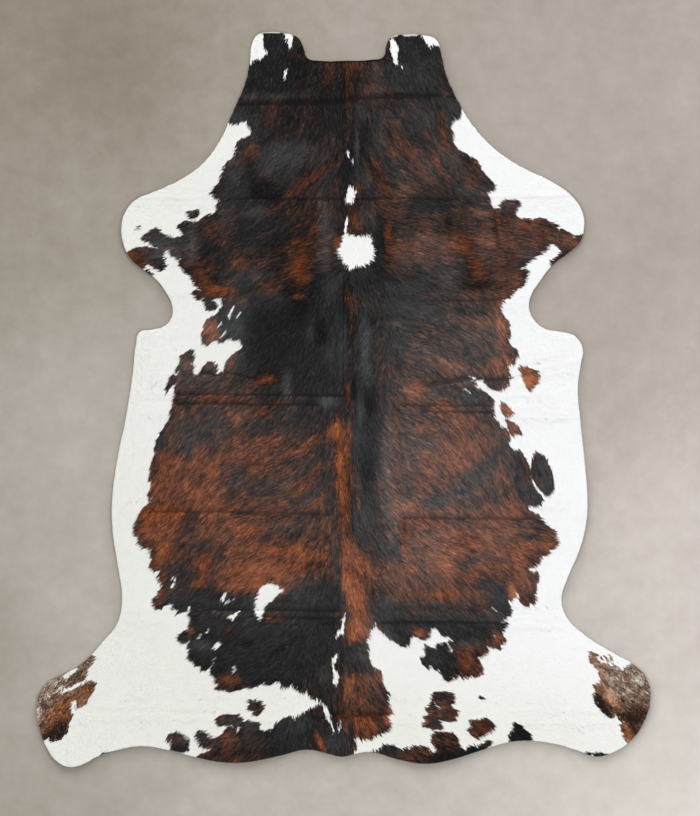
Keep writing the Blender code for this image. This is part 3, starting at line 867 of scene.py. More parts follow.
# %% Directions of the hair
SPINE = 344.0
BOTH_SIDES = (
    # distance from the spine, top, degrees below the outward level
    (0, 40, 90), (0, 120, 90), (0, 200, 90), (0, 300, 90), (0, 400, 90), (0, 500, 90),
    (0, 600, 90), (0, 700, 88), (0, 755, 86), (14, 60, 82), (14, 150, 80), (60, 50, 78),
    (95, 40, 80), (120, 120, 55), (135, 180, 40), (180, 170, 30), (185, 215, 12),
    (225, 235, 20), (200, 195, 10), (170, 280, 20), (180, 360, 34), (220, 360, 40),
    (190, 430, 44), (215, 430, 48), (225, 510, 44), (215, 590, 50), (170, 650, 24),
    (230, 650, 22), (100, 702, 12), (160, 705, 8), (230, 700, 14), (290, 700, 22),
    (300, 735, 30), (265, 670, 24), (110, 748, 50), (165, 745, 50), (230, 745, 48),
)
LEFT_SIDE = (
    # left, top, degrees below the outward level
    (255, 110, 60), (300, 125, 67), (320, 130, 62), (270, 145, 47), (285, 160, 40),
    (320, 165, 52), (250, 155, 50), (330, 80, 75), (265, 110, 70), (240, 170, 45),
    (230, 185, 40), (280, 185, 37), (325, 178, 55), (250, 215, 40), (260, 230, 35),
    (250, 250, 37), (240, 270, 42), (200, 225, 30), (200, 285, 20), (215, 290, 15),
    (280, 250, 17), (290, 270, 20), (310, 262, 12), (300, 290, 25), (270, 282, 42),
    (330, 250, 10), (235, 310, 60), (215, 330, 54), (232, 357, 48), (207, 387, 36),
    (225, 385, 40), (265, 380, 35), (300, 345, 70), (300, 400, 50), (172, 470, 62),
    (160, 450, 65), (185, 425, 50), (210, 440, 47), (237, 425, 38), (195, 460, 58),
    (185, 485, 55), (240, 465, 38), (285, 450, 20), (305, 450, 30), (310, 472, 48),
    (330, 450, 76), (330, 500, 76), (270, 495, 23), (300, 505, 30), (155, 518, 50),
    (235, 520, 25), (145, 530, 20), (172, 555, 52), (203, 565, 62), (215, 540, 55),
    (190, 545, 40), (245, 552, 35), (275, 550, 30), (310, 540, 55), (325, 565, 68),
    (335, 585, 74), (255, 575, 28), (292, 582, 42), (225, 597, 57), (180, 590, 45),
    (160, 600, 22), (200, 615, 22), (270, 618, 32), (325, 625, 86), (283, 643, 26),
    (295, 637, 38), (240, 655, 30), (200, 655, 42), (230, 680, 40), (303, 690, 72),
    (228, 719, 25), (257, 708, 30), (178, 741, 45), (230, 737, 32), (250, 740, 38),
    (318, 742, 112), (310, 724, 96), (333, 705, 104), (52, 688, 60), (62, 676, 42),
    (78, 668, 42), (86, 690, 48), (47, 712, 66), (62, 705, 54), (58, 728, 56), (72, 722, 60),
)
RIGHT_SIDE = (
    (400, 100, 57), (390, 120, 60), (420, 130, 60), (410, 150, 47), (440, 165, 45),
    (450, 150, 55), (380, 160, 38), (355, 110, 80), (375, 90, 50), (430, 75, 60),
    (430, 175, 45), (450, 185, 45), (400, 175, 28), (400, 200, 12), (410, 220, 10),
    (440, 205, 15), (470, 215, 10), (470, 240, 7), (400, 250, 10), (480, 260, 0),
    (500, 230, 10), (510, 280, -30), (370, 290, 60), (475, 325, 32), (480, 350, 48),
    (500, 330, 62), (505, 370, 70), (495, 305, 50), (440, 365, 40), (460, 345, 37),
    (367, 338, 125), (374, 372, 118), (415, 315, 12), (420, 340, 20), (410, 355, 17),
    (417, 390, 25), (440, 395, 35), (392, 485, 45), (385, 450, 52), (415, 430, 28),
    (450, 445, 45), (475, 440, 57), (492, 430, 60), (505, 475, 62), (515, 480, 70),
    (465, 495, 45), (410, 480, 30), (395, 500, 40), (362, 500, 65), (545, 470, 78),
    (412, 498, 35), (355, 545, 62), (362, 552, 57), (352, 590, 80), (375, 562, 52),
    (390, 590, 52), (405, 565, 40), (405, 580, 62), (430, 552, 30), (450, 545, 22),
    (470, 545, 25), (500, 552, 45), (510, 570, 40), (530, 580, 55), (520, 545, 22),
    (543, 540, 10), (470, 600, 40), (438, 598, 48), (362, 640, 52), (352, 656, 64),
    (400, 640, 50), (420, 632, 35), (440, 660, 52), (465, 665, 45), (460, 645, 32),
    (492, 640, 45), (349, 690, 106), (372, 695, 45), (380, 712, 20), (370, 725, 60),
    (385, 725, 35), (360, 732, 75), (443, 698, 18), (445, 712, 24), (433, 725, 17),
    (446, 741, 38), (480, 728, 35), (520, 735, 30), (412, 753, 40), (625, 685, 46),
    (640, 680, 52), (636, 706, 56), (612, 700, 50), (598, 662, 50), (610, 672, 46), (630, 732, 54),
)
NEARNESS_ROOM, NEARNESS_POWER = 5.0, 3.5
WHORL, WHORL_REACH, WHORL_FADE = (356, 252), 17.0, 9.0
WAY_NET = 6.0
across, down = np.meshgrid(
    np.arange(0, SHOT_SIZE[0] + 2 * WAY_NET, WAY_NET),
    np.arange(0, SHOT_SIZE[1] + 2 * WAY_NET, WAY_NET),
)
rows = [(SPINE - out, top, degrees, -1) for out, top, degrees in BOTH_SIDES]
rows += [(SPINE + out, top, degrees, 1) for out, top, degrees in BOTH_SIDES]
rows += [(*row, -1) for row in LEFT_SIDE] + [(*row, 1) for row in RIGHT_SIDE]
rows = np.array(rows, float)
apart = np.hypot(across[..., None] - rows[:, 0], down[..., None] - rows[:, 1])
nearness = 1 / (apart + NEARNESS_ROOM) ** NEARNESS_POWER
slant = np.radians(rows[:, 2])
outward, downward = nearness * np.cos(slant) * rows[:, 3], nearness * np.sin(slant)
way_net = np.stack([outward.sum(-1), downward.sum(-1)], -1)
way_net /= np.linalg.norm(way_net, axis=-1, keepdims=True)


def hair_way(spots):
    """The direction of the hair at each spot, as unit steps to the right and down."""
    i = np.clip(spots[:, 0] / WAY_NET, 0, way_net.shape[1] - 1.001)
    j = np.clip(spots[:, 1] / WAY_NET, 0, way_net.shape[0] - 1.001)
    i0, j0 = i.astype(int), j.astype(int)
    right, low = (i - i0)[:, None], (j - j0)[:, None]
    way = (way_net[j0, i0] * (1 - right) + way_net[j0, i0 + 1] * right) * (1 - low)
    way += (way_net[j0 + 1, i0] * (1 - right) + way_net[j0 + 1, i0 + 1] * right) * low
    out = spots - WHORL
    off = np.linalg.norm(out, axis=1)[:, None]
    pull = 1 / (1 + np.exp((off - WHORL_REACH) * 4 / WHORL_FADE))
    way = way * (1 - pull) + out / np.maximum(off, 1.0) * pull
    return way / np.maximum(np.linalg.norm(way, axis=1), 1e-6)[:, None]


print("directions on a net of", way_net.shape[:2])

# %% [markdown]
# ## Brindle
# Brindle is a dark coat with rust-coloured hairs combed through it in streaks. The recipe:
# soft random speckles, averaged along the way the hair lies. Speckles in line with each other
# run together to streaks, and streaks next to each other stay apart.

# %% Speckles and streaks
SPECKLE_SEED, SHEET_SIDE = 27, 512
SHIFT_WIDE, SHIFT_HIGH = 13.7, 31.3      # a shift of one moves the sheet by so many cells
speckle_sheet = np.random.default_rng(SPECKLE_SEED).random((SHEET_SIDE, SHEET_SIDE)) * 2 - 1


def speckle(spots, cell, shift):
    """Soft random values from -1 to 1, that change over about one cell."""
    u, v = spots[:, 0] / cell + SHIFT_WIDE * shift, spots[:, 1] / cell + SHIFT_HIGH * shift
    i, j = np.floor(u).astype(int), np.floor(v).astype(int)
    u, v = u - i, v - j
    u, v = u * u * (3 - 2 * u), v * v * (3 - 2 * v)
    i, next_i = i % SHEET_SIDE, (i + 1) % SHEET_SIDE
    j, next_j = j % SHEET_SIDE, (j + 1) % SHEET_SIDE
    near = speckle_sheet[j, i] * (1 - u) + speckle_sheet[j, next_i] * u
    far = speckle_sheet[next_j, i] * (1 - u) + speckle_sheet[next_j, next_i] * u
    return near * (1 - v) + far * v


STREAK_STEPS = 4


def streaks(spots, cell, reach, shift):
    """Speckles averaged along the hair, up to reach pixels each way, evened to a spread of 1."""
    total = speckle(spots, cell, shift)
    for sign in (-1, 1):
        walk = spots
        for _ in range(STREAK_STEPS):
            walk = walk + hair_way(walk) * (sign * reach / STREAK_STEPS)
            total += speckle(walk, cell, shift)
    return total / total.std()


print("speckle sheet", speckle_sheet.shape)

# %% [markdown]
# The brindle isn't even: black saddles, rusty flanks, and places where the coat turns to the
# light and looks grey, or away from it and looks deeper and redder. Each is a soft oval of the
# table below, and the light and shade among them are painted into the colour. The table was
# filled in row by row. A good half of its rows were placed one by one; the others were added
# later, to even out the coat's average tones against the photograph's, block by block. An
# oval's rust is added to the coat's rust level, from 0 for black to 1 for bright rust. Its
# gloss is painted sheen that greys the hair, and below zero it is painted shade that makes
# the colour deeper.

# %% Ovals of rust and gloss
BASE_RUST = 0.29
TONES = {
    # left, top, half width, half height, turn in degrees, rust, gloss (painted sheen; below zero
    # painted shade)
    "left neck": [
        (280, 140, 60, 50, 0, -0.13, 0), (270, 62, 40, 30, 0, -0.34, 0.1),
        (329, 76, 17, 3.5, 100, 0.14, -0.3), (349, 75, 4, 22, 0, 0.14, -0.4),
        (341, 80, 4, 20, 0, -0.16, 0), (302, 76, 4, 9, 0, 0.12, -0.2), (252, 77, 5, 8, 0, 0.12, 0),
        (274, 88, 6, 5, 0, 0.10, 0), (270, 96, 35, 3, 0, 0, 0.3), (272, 110, 10, 6, 0, 0.16, 0),
        (268, 122, 10, 6, 0, 0.12, 0), (302, 125, 3, 10, 0, 0.14, 0), (245, 113, 8, 7, 0, -0.20, 0),
        (336, 114, 9, 14, 0, -0.25, 0.1), (283, 156, 22, 13, 0, -0.16, 0.6),
        (300, 150, 16, 10, 0, 0, 0.2), (252, 152, 8, 8, 0, 0.25, 0),
        (233, 166, 11, 16, 0, -0.05, 0.45), (252, 173, 7, 8, 0, -0.20, 0),
        (267, 170, 8, 6, 0, 0.15, 0.2), (262, 189, 16, 9, 0, -0.16, -0.2),
        (308, 181, 34, 3.5, 142, 0.22, -0.4), (323, 208, 6, 26, 0, -0.08, 0.25),
        (226, 208, 7, 16, 0, 0, 0.3), (240, 190, 12, 10, 0, -0.15, 0.3),
        (350, 171, 8, 12, 0, -0.30, 0), (235, 125, 12, 14, 0, 0, 0.4),
        (308, 178, 16, 8, 0, -0.08, 0), (272, 45, 16, 14, 0, -0.15, 0.05),
        (297, 57, 6, 4, 0, 0.30, -0.3), (350, 60, 40, 4, 0, -0.14, -0.2),
        (266, 165, 12, 14, 0, 0.04, 0.15), (250, 120, 14, 14, 0, 0, 0.2),
        (328, 165, 8, 22, 0, 0, 0.15), (288, 180, 9, 8, 0, 0, 0.2), (330, 60, 9, 7, 0, 0.06, -0.3),
        (250, 159, 8, 8, 0, 0, -0.2), (250, 138, 8, 8, 0, 0, 0.2),
    ],
    "right neck": [
        (408, 148, 42, 50, 0, -0.02, 0.18), (408, 150, 30, 30, 50, 0.03, 0),
        (412, 68, 30, 26, 0, -0.34, 0.35), (375, 74, 8, 16, 0, 0.13, 0.2),
        (356, 64, 8, 5, 0, 0.20, 0), (352, 78, 5, 10, 0, 0.05, -0.3),
        (380, 90, 14, 5, 0, 0.16, 0.2), (446, 93, 7, 5, 0, 0.08, 0.1),
        (367, 135, 9, 14, 0, -0.32, 0), (379, 132, 6, 18, 0, -0.05, 0.35),
        (436, 116, 2, 16, 0, -0.30, 0), (357, 148, 1.5, 18, 0, 0, 0.5), (362, 112, 6, 8, 0, 0, 0.4),
        (398, 118, 12, 8, 0, 0.10, 0.2), (420, 118, 16, 12, 0, -0.05, 0.4),
        (445, 135, 14, 3, 75, 0.26, -0.5), (455, 108, 8, 7, 0, -0.20, 0.2),
        (408, 150, 20, 3, 45, 0.16, 0), (418, 152, 20, 3, 48, 0.14, 0),
        (424, 172, 18, 4, 50, 0.16, 0), (400, 170, 26, 4, 50, 0, 0.1),
        (390, 150, 18, 3, 60, 0.14, 0), (438, 165, 18, 4, 65, 0.16, -0.2),
        (440, 150, 7, 9, 0, 0.14, 0), (380, 178, 20, 5, 60, 0.20, -0.4),
        (405, 190, 7, 9, 0, 0.22, 0.3), (460, 175, 10, 7, 0, 0.12, 0.2),
        (483, 172, 7, 9, 0, 0.16, 0.1), (468, 191, 12, 6, 0, -0.08, 0.4),
        (358, 187, 4, 4, 0, 0.30, -0.3), (367, 196, 7, 9, 0, -0.25, 0.1),
        (438, 203, 22, 8, 0, -0.28, 0.1), (450, 135, 12, 28, 0, -0.05, 0.35),
        (396, 124, 14, 20, 0, -0.10, 0), (388, 178, 16, 20, 0, -0.09, 0.12),
        (440, 165, 24, 18, 0, -0.03, 0.30), (487, 195, 9, 12, 0, 0, 0.4),
        (452, 103, 9, 6, 20, -0.25, 0.3), (441, 118, 4, 8, 0, 0.20, -0.2),
        (426, 80, 12, 14, 0, 0, 0.08), (364, 178, 8, 9, 0, 0, 0.3),
        (410, 116, 9, 8, 0, -0.06, -0.1), (508, 204, 8, 6, 0, 0, 0.4), (408, 119, 9, 7, 0, 0, -0.2),
        (370, 57, 34, 4, 0, 0, -0.3), (449, 159, 8, 8, 0, 0.08, 0),
    ],
    "left shoulder": [
        (250, 245, 75, 45, 0, -0.05, 0.05), (158, 238, 18, 9, 0, -0.14, 0.1),
        (255, 212, 12, 6, 0, -0.10, 0.6), (283, 210, 20, 5, 0, 0.12, 0),
        (262, 232, 26, 14, 0, -0.12, 0.1), (212, 228, 12, 6, 0, -0.02, 0),
        (211, 244, 7, 9, 0, -0.22, 0), (192, 240, 4, 28, 0, 0, 0.5),
        (300, 243, 22, 7, 0, 0.08, -0.3), (301, 270, 9, 26, 0, 0.38, -0.9),
        (290, 276, 10, 12, 0, 0.22, -0.2), (315, 240, 8, 12, 0, 0.10, -0.3),
        (323, 246, 6, 24, 0, -0.04, 0.4), (338, 244, 3, 8, 0, 0.50, -0.3),
        (241, 264, 11, 7, 0, 0.24, 0), (205, 276, 8, 14, 0, 0.26, -0.5),
        (240, 288, 24, 10, 0, 0.14, 0), (222, 291, 18, 5, 8, 0.34, -0.4),
        (244, 284, 7, 7, 0, -0.25, 0.1), (256, 276, 8, 6, 0, 0.10, 0.4),
        (272, 289, 8, 8, 0, 0.34, 0), (320, 284, 6, 14, 0, -0.24, 0),
        (203, 250, 4, 14, 0, -0.16, 0), (330, 285, 6, 12, 0, -0.10, 0.5),
        (136, 257, 12, 9, 0, 0.30, -0.2), (158, 258, 8, 8, 0, -0.10, 0.1),
        (160, 245, 26, 14, 0, 0, 0.5), (310, 240, 10, 9, 0, -0.14, 0), (328, 232, 8, 26, 0, 0, 0.3),
        (236, 278, 14, 9, 0, 0, 0.25), (205, 238, 9, 9, 0, 0.08, 0),
        (342, 280, 12, 8, 0, 0.05, 0.2), (170, 254, 15, 8, 0, 0, 0.4),
        (188, 277, 8, 8, 0, 0.06, -0.3), (326, 258, 8, 10, 0, 0.05, 0.15),
        (348, 277, 9, 6, 0, 0.05, 0.2), (204, 302, 6, 9, 0, -0.04, 0.3),
        (309, 279, 7, 8, 0, 0.11, 0), (330, 280, 7, 10, 0, 0, -0.3), (268, 259, 9, 9, 0, 0.08, 0),
        (191, 278, 8, 8, 0, 0.04, 0), (310, 218, 8, 8, 0, -0.04, -0.2),
        (302, 257, 10, 9, 0, -0.07, -0.2), (312, 280, 6, 8, 0, 0.08, 0),
        (210, 237, 8, 7, 0, 0.08, 0), (209, 218, 9, 7, 0, -0.07, 0),
    ],
    "right shoulder": [
        (450, 235, 80, 50, 0, -0.01, 0.15), (358, 281, 20, 9, 0, -0.30, 0),
        (378, 264, 7, 12, 0, -0.30, 0), (352, 213, 7, 10, 0, 0.16, -0.3),
        (357, 226, 8, 6, 0, 0.20, -0.2), (347, 288, 4, 18, 0, 0.26, -0.4),
        (380, 240, 5, 16, 0, -0.40, 0), (387, 240, 4, 18, 0, 0.30, -0.6),
        (398, 205, 12, 7, 0, 0.12, 0), (402, 263, 5, 7, 0, -0.25, 0.2),
        (404, 262, 14, 15, 0, 0.26, 0), (438, 244, 26, 11, 0, 0.10, 0.5),
        (464, 243, 8, 8, 0, 0.16, -0.6), (486, 240, 10, 10, 0, 0.24, 0.3),
        (448, 224, 4, 12, 0, -0.10, -0.3), (457, 206, 4, 8, 0, 0.20, 0),
        (476, 266, 17, 5, 60, 0.12, -0.5), (497, 220, 4, 14, 165, 0.20, -0.3),
        (422, 278, 8, 12, 0, -0.22, 0.2), (446, 270, 12, 16, 0, -0.10, 0.4),
        (400, 288, 20, 6, 0, -0.26, 0.3), (485, 212, 12, 8, 0, 0.15, 0.4),
        (475, 284, 14, 7, 0, -0.08, -0.2), (520, 240, 26, 16, 0, 0.21, 0.1),
        (470, 268, 5, 20, 165, 0.08, -0.3), (430, 245, 26, 10, 0, 0.08, 0),
        (562, 240, 14, 8, 0, 0.36, 0.3), (358, 218, 13, 8, 0, 0.05, 0.25),
        (450, 222, 12, 8, 0, 0.12, 0), (448, 250, 11, 18, 0, 0.18, -0.3),
        (430, 262, 8, 9, 0, 0.12, 0.2), (468, 260, 9, 10, 0, -0.12, 0.2),
        (562, 240, 16, 9, 0, -0.14, 0.1), (528, 224, 14, 7, 0, 0.16, 0.1),
        (530, 255, 10, 7, 0, -0.06, 0.4), (510, 279, 12, 9, 0, 0.15, 0.1),
        (446, 216, 9, 7, 0, 0.08, 0.1), (446, 260, 8, 7, 0, 0.08, 0.1),
        (412, 258, 11, 8, 0, 0, 0.3), (366, 220, 8, 8, 0, 0, 0.2), (486, 262, 8, 9, 0, -0.07, 0.1),
        (498, 222, 12, 8, 0, -0.10, 0), (463, 239, 8, 8, 0, 0.09, 0), (389, 258, 6, 8, 0, -0.09, 0),
        (450, 279, 9, 8, 0, 0.03, 0.25),
    ],
    "black saddle": [
        (285, 335, 52, 52, 0, -0.47, 0.04), (325, 350, 30, 60, 0, -0.35, 0.1),
        (287, 385, 4, 12, 0, 0.06, 0.8), (311, 332, 4, 9, 0, 0, 0.5),
        (343, 350, 4, 26, 0, -0.20, 0.5), (328, 402, 9, 6, 0, -0.30, 0.8),
        (268, 379, 9, 6, 0, 0.46, -0.6), (280, 404, 10, 3, 0, 0.26, -0.3),
        (235, 387, 28, 9, 0, 0.10, 0.1), (264, 412, 6, 3, 0, 0.30, -0.5),
        (299, 296, 8, 4, 0, 0.50, -0.5), (351, 335, 3.5, 26, 0, 0.34, -0.3),
        (331, 345, 6, 20, 0, 0, 0.4), (349, 392, 4, 14, 0, 0.40, -0.4),
        (355, 389, 4, 10, 0, -0.50, 0), (232, 325, 10, 16, 0, -0.35, 0.5),
        (211, 332, 11, 13, 0, 0.44, 0.1), (233, 358, 6, 11, 30, 0.45, 0.2),
        (184, 364, 7, 10, 0, 0.10, 0.2), (243, 303, 6, 8, 0, 0.30, 0),
        (208, 330, 11, 14, 0, -0.08, 0.7), (232, 325, 16, 36, 0, 0, 0.4),
        (186, 374, 26, 16, 0, 0.03, 0.5), (225, 400, 32, 9, 0, 0.10, 0.2),
        (200, 420, 34, 8, 0, 0.07, 0), (260, 300, 38, 8, 0, 0.06, 0.25),
        (232, 366, 15, 13, 0, 0.06, 0.25), (186, 358, 8, 8, 0, 0, 0.3),
        (320, 332, 12, 12, 0, 0, -0.2), (185, 398, 14, 8, 0, -0.14, 0),
        (222, 362, 8, 8, 0, 0.05, 0.1), (290, 404, 9, 14, 0, 0.08, 0.1),
        (210, 378, 8, 8, 0, -0.08, 0.2), (229, 417, 9, 8, 0, 0.06, 0), (330, 339, 8, 8, 0, 0, -0.2),
        (250, 379, 8, 8, 0, -0.06, 0),
    ],
    "right ribs": [
        (450, 340, 62, 40, 0, -0.03, 0.55), (412, 350, 20, 12, 0, -0.05, 0.2),
        (365, 346, 5, 30, 0, -0.30, 0.8), (392, 402, 9, 9, 0, 0.14, 0),
        (443, 405, 12, 12, 0, 0.12, 0), (360, 412, 3, 14, 0, -0.20, 0.6),
        (369, 420, 9, 36, 0, -0.46, 0), (402, 312, 24, 14, 0, -0.25, 0.5),
        (395, 324, 12, 4, 0, 0.20, 0.2), (445, 364, 22, 6, 20, 0.20, 0.3),
        (461, 311, 6, 8, 0, -0.15, -0.2), (474, 321, 20, 6, 15, 0.20, 0.3),
        (503, 325, 7, 13, 0, 0.34, 0.1), (406, 385, 7, 9, 0, 0.26, 0.2),
        (416, 390, 8, 10, 0, 0.28, 0.1), (395, 385, 8, 8, 0, -0.20, 0.2),
        (440, 392, 14, 7, 0, -0.15, 0.2), (467, 381, 7, 5, 0, -0.30, 0.2),
        (492, 381, 13, 4, 0, -0.20, 0), (472, 398, 18, 8, 0, -0.22, 0.3),
        (475, 300, 34, 8, 0, 0.10, 0.15), (502, 355, 12, 32, 0, 0.18, 0.3),
        (485, 360, 14, 22, 0, 0.08, 0.1), (428, 342, 11, 9, 0, -0.10, 0),
        (409, 380, 9, 9, 0, -0.12, 0), (527, 374, 9, 9, 0, 0.15, 0.2),
        (380, 318, 24, 9, 0, 0, -0.3), (460, 300, 24, 7, 0, 0.06, 0.1),
        (496, 326, 12, 13, 0, -0.13, 0.2), (522, 379, 12, 8, 0, 0.10, 0.1),
        (510, 339, 8, 8, 0, -0.09, 0), (370, 400, 7, 16, 0, 0, -0.25),
        (350, 338, 7, 8, 0, 0.06, 0.05), (370, 378, 7, 9, 0, 0, 0.3),
        (490, 345, 9, 16, 0, -0.06, 0), (429, 378, 9, 8, 0, -0.07, 0),
        (410, 318, 10, 8, 0, 0, -0.3), (450, 318, 9, 8, 0, 0.09, 0), (430, 339, 8, 8, 0, 0, -0.25),
        (469, 339, 9, 8, 0, 0.03, 0.25), (390, 359, 8, 8, 0, -0.07, 0), (429, 399, 8, 8, 0, 0, 0.2),
    ],
    "left flank": [
        (232, 492, 100, 88, 0, 0.20, 0.30), (205, 426, 36, 18, 0, -0.16, 0.35),
        (186, 450, 10, 10, 0, -0.10, 0.3), (265, 428, 14, 7, 0, -0.12, 0),
        (288, 414, 14, 8, 0, -0.16, 0.1), (268, 441, 14, 6, 0, 0.12, -0.2),
        (238, 415, 24, 8, 0, 0.10, 0.1), (305, 465, 24, 18, 140, -0.08, 0.1),
        (318, 460, 20, 3, 140, -0.14, 0.2), (322, 488, 20, 3, 138, -0.14, 0.2),
        (230, 452, 20, 9, 0, 0.10, 0), (258, 465, 10, 7, 0, 0.14, -0.2),
        (212, 482, 26, 14, 0, 0.03, 0), (165, 468, 10, 22, 0, 0.12, -0.1),
        (270, 436, 60, 12, 0, 0.04, 0.1), (235, 478, 11, 12, 0, -0.16, 0.2),
        (268, 485, 22, 9, 0, -0.10, 0.2), (308, 505, 22, 12, 150, -0.10, 0.2),
        (318, 500, 22, 3, 140, 0.20, -0.2), (300, 492, 20, 3, 150, 0.12, 0),
        (313, 440, 22, 4, 145, 0.22, -0.2), (312, 474, 18, 4, 130, 0.24, -0.2),
        (160, 514, 24, 9, 0, 0.28, -0.4), (190, 521, 11, 9, 0, -0.14, 0),
        (157, 533, 20, 14, 0, 0.18, 0), (147, 538, 6, 7, 0, -0.20, 0),
        (245, 530, 14, 7, 0, 0.12, -0.1), (295, 526, 20, 9, 0, -0.10, 0.2),
        (222, 399, 24, 4, 0, 0.12, -0.3), (188, 492, 8, 16, 0, 0.12, 0),
        (214, 490, 7, 20, 0, 0.10, 0), (155, 556, 14, 20, 0, 0.14, 0),
        (160, 443, 4, 9, 0, -0.40, 0.3), (165, 492, 26, 9, 0, 0.12, 0),
        (206, 514, 11, 10, 0, 0.14, 0), (250, 500, 34, 12, 0, -0.09, 0),
        (275, 538, 24, 9, 0, -0.15, 0), (266, 456, 11, 7, 0, 0.09, 0),
        (312, 458, 10, 10, 0, 0.10, -0.1), (210, 445, 12, 14, 0, -0.09, 0),
        (147, 535, 9, 9, 0, 0.10, 0), (160, 480, 13, 9, 0, -0.08, 0), (200, 500, 34, 8, 0, 0.06, 0),
        (208, 520, 10, 9, 0, 0.09, 0), (205, 539, 20, 8, 0, 0.09, 0),
        (300, 560, 20, 8, 0, -0.06, 0), (245, 436, 12, 8, 0, -0.04, -0.1),
        (170, 439, 9, 8, 0, 0.09, 0.1), (242, 519, 18, 9, 0, -0.07, 0),
        (290, 518, 10, 8, 0, 0.09, 0), (290, 539, 10, 8, 0, -0.08, 0),
        (318, 428, 10, 10, 0, -0.05, 0), (290, 498, 9, 8, 0, -0.08, 0),
        (230, 539, 9, 8, 0, 0.04, 0.15), (230, 458, 8, 8, 0, 0.06, 0),
    ],
    "left loin": [
        (196, 545, 13, 6, 0, -0.20, 0.1), (165, 551, 11, 6, 0, 0.15, -0.2),
        (205, 562, 6, 11, 0, 0.22, -0.3), (180, 575, 15, 11, 0, -0.32, 0.1),
        (160, 577, 6, 9, 0, 0.10, -0.1), (248, 574, 46, 18, 0, 0.36, 0),
        (250, 589, 42, 7, 0, 0.34, 0), (312, 560, 20, 12, 0, 0.14, 0),
        (290, 550, 22, 14, 0, 0.20, -0.1), (312, 567, 12, 5, 0, -0.10, -0.3),
        (322, 597, 18, 12, 0, -0.44, 0.1), (192, 600, 30, 14, 0, -0.34, 0.1),
        (200, 583, 6, 5, 0, 0.30, -0.2), (158, 600, 8, 8, 0, 0.36, -0.1),
        (336, 556, 24, 3, 85, -0.24, 0.3), (300, 598, 14, 9, 0, -0.26, 0.1),
        (216, 566, 16, 18, 0, -0.18, 0.1), (304, 590, 26, 16, 0, 0, 0.25),
        (169, 585, 15, 18, 0, 0.13, 0.1), (175, 582, 15, 9, 0, 0.08, 0),
        (185, 599, 26, 8, 0, 0.06, 0.12), (150, 557, 7, 7, 0, -0.10, 0),
        (350, 580, 7, 9, 0, 0.12, 0), (290, 578, 14, 6, 0, 0.08, 0.1),
        (268, 578, 9, 7, 0, -0.08, 0), (212, 566, 12, 16, 0, -0.06, 0),
        (192, 586, 14, 12, 0, 0.06, 0), (210, 598, 9, 8, 0, 0.07, 0),
        (250, 600, 9, 6, 0, 0.04, 0.25),
    ],
    "left rump": [
        (265, 640, 85, 45, 0, -0.49, 0.20), (273, 618, 11, 6, 0, 0.50, -0.3),
        (230, 632, 9, 6, 120, 0.46, -0.3), (247, 643, 7, 4, 0, 0.25, -0.3),
        (283, 648, 16, 3, 145, 0.28, -0.2), (230, 680, 14, 9, 0, 0.52, -0.1),
        (265, 630, 80, 30, 0, 0.05, 0), (203, 645, 12, 6, 0, 0, 0.6), (191, 630, 4, 5, 0, 0.50, 0),
        (215, 614, 26, 4, 0, 0.25, 0), (290, 735, 22, 22, 0, -0.46, 0.2),
        (228, 736, 12, 8, 0, 0.20, -0.1), (250, 728, 8, 6, 0, -0.05, 0.2),
        (319, 741, 10, 3, 65, 0.50, -0.4), (336, 742, 12, 12, 0, -0.30, 0.5),
        (200, 738, 6, 8, 0, -0.30, 0.3), (180, 748, 7, 4, 0, -0.35, 0),
        (257, 708, 7, 7, 0, 0.24, 0), (104, 756, 6, 4, 0, -0.40, 0),
        (250, 622, 48, 20, 0, 0.01, 0.15), (232, 720, 15, 7, 0, 0.05, 0.4),
        (178, 741, 12, 8, 0, 0.12, 0.3), (296, 722, 14, 9, 0, 0, 0.3),
        (225, 755, 22, 5, 0, -0.08, 0), (325, 676, 6, 9, 0, 0, 0.3), (330, 720, 6, 9, 0, -0.25, 0),
        (225, 740, 28, 7, 0, 0, 0.2), (250, 719, 9, 8, 0, 0.06, 0.3), (210, 639, 8, 8, 0, 0, -0.25),
    ],
    "spine": [
        (341, 474, 62, 4.5, 86, 0.38, -0.4), (335, 428, 6, 11, 20, 0.26, 0),
        (356, 440, 5, 20, 0, -0.30, 0.2), (350, 555, 10, 16, 0, 0.26, 0.1),
        (346, 592, 7, 28, 0, 0.34, 0.1), (362, 630, 14, 13, 0, 0.26, 0),
        (377, 634, 5, 8, 0, 0.40, 0), (360, 600, 9, 26, 0, 0.34, -0.1),
        (366, 565, 10, 6, 50, 0.30, -0.1), (352, 628, 9, 16, 0, 0.40, 0),
        (358, 655, 14, 8, 0, -0.56, 0.3), (346, 682, 6, 14, 0, 0.12, 0.1),
        (382, 676, 7, 10, 0, 0.30, 0.1), (362, 692, 16, 16, 0, 0.14, 0),
        (349, 690, 16, 5, 105, 0.20, -0.1), (376, 692, 7, 6, 0, -0.16, 0.1),
        (365, 704, 22, 34, 0, 0.06, 0.1), (361, 716, 18, 3, 0, 0.10, -0.8),
        (362, 727, 16, 9, 0, 0.24, -0.1), (351, 730, 2.5, 6, 0, -0.50, 0),
        (346, 448, 5, 22, 0, 0.12, -0.1), (372, 640, 10, 30, 0, 0.03, 0.5),
        (345, 618, 5, 10, 0, -0.16, 0), (349, 706, 6, 18, 0, -0.04, 0.1),
        (349, 560, 5, 12, 0, -0.08, 0.1), (331, 415, 7, 8, 0, -0.10, 0),
        (352, 598, 8, 12, 0, 0.08, 0.1), (384, 634, 9, 7, 0, 0.10, 0.35),
        (366, 656, 9, 10, 0, 0.08, 0.25), (370, 680, 8, 8, 0, 0.07, 0.15),
        (370, 698, 9, 7, 0, -0.10, 0), (352, 720, 6, 8, 0, 0.08, 0), (390, 715, 5, 9, 0, 0.40, 0),
        (388, 722, 7, 7, 0, 0.20, 0.1), (329, 698, 6, 8, 0, -0.12, 0.1),
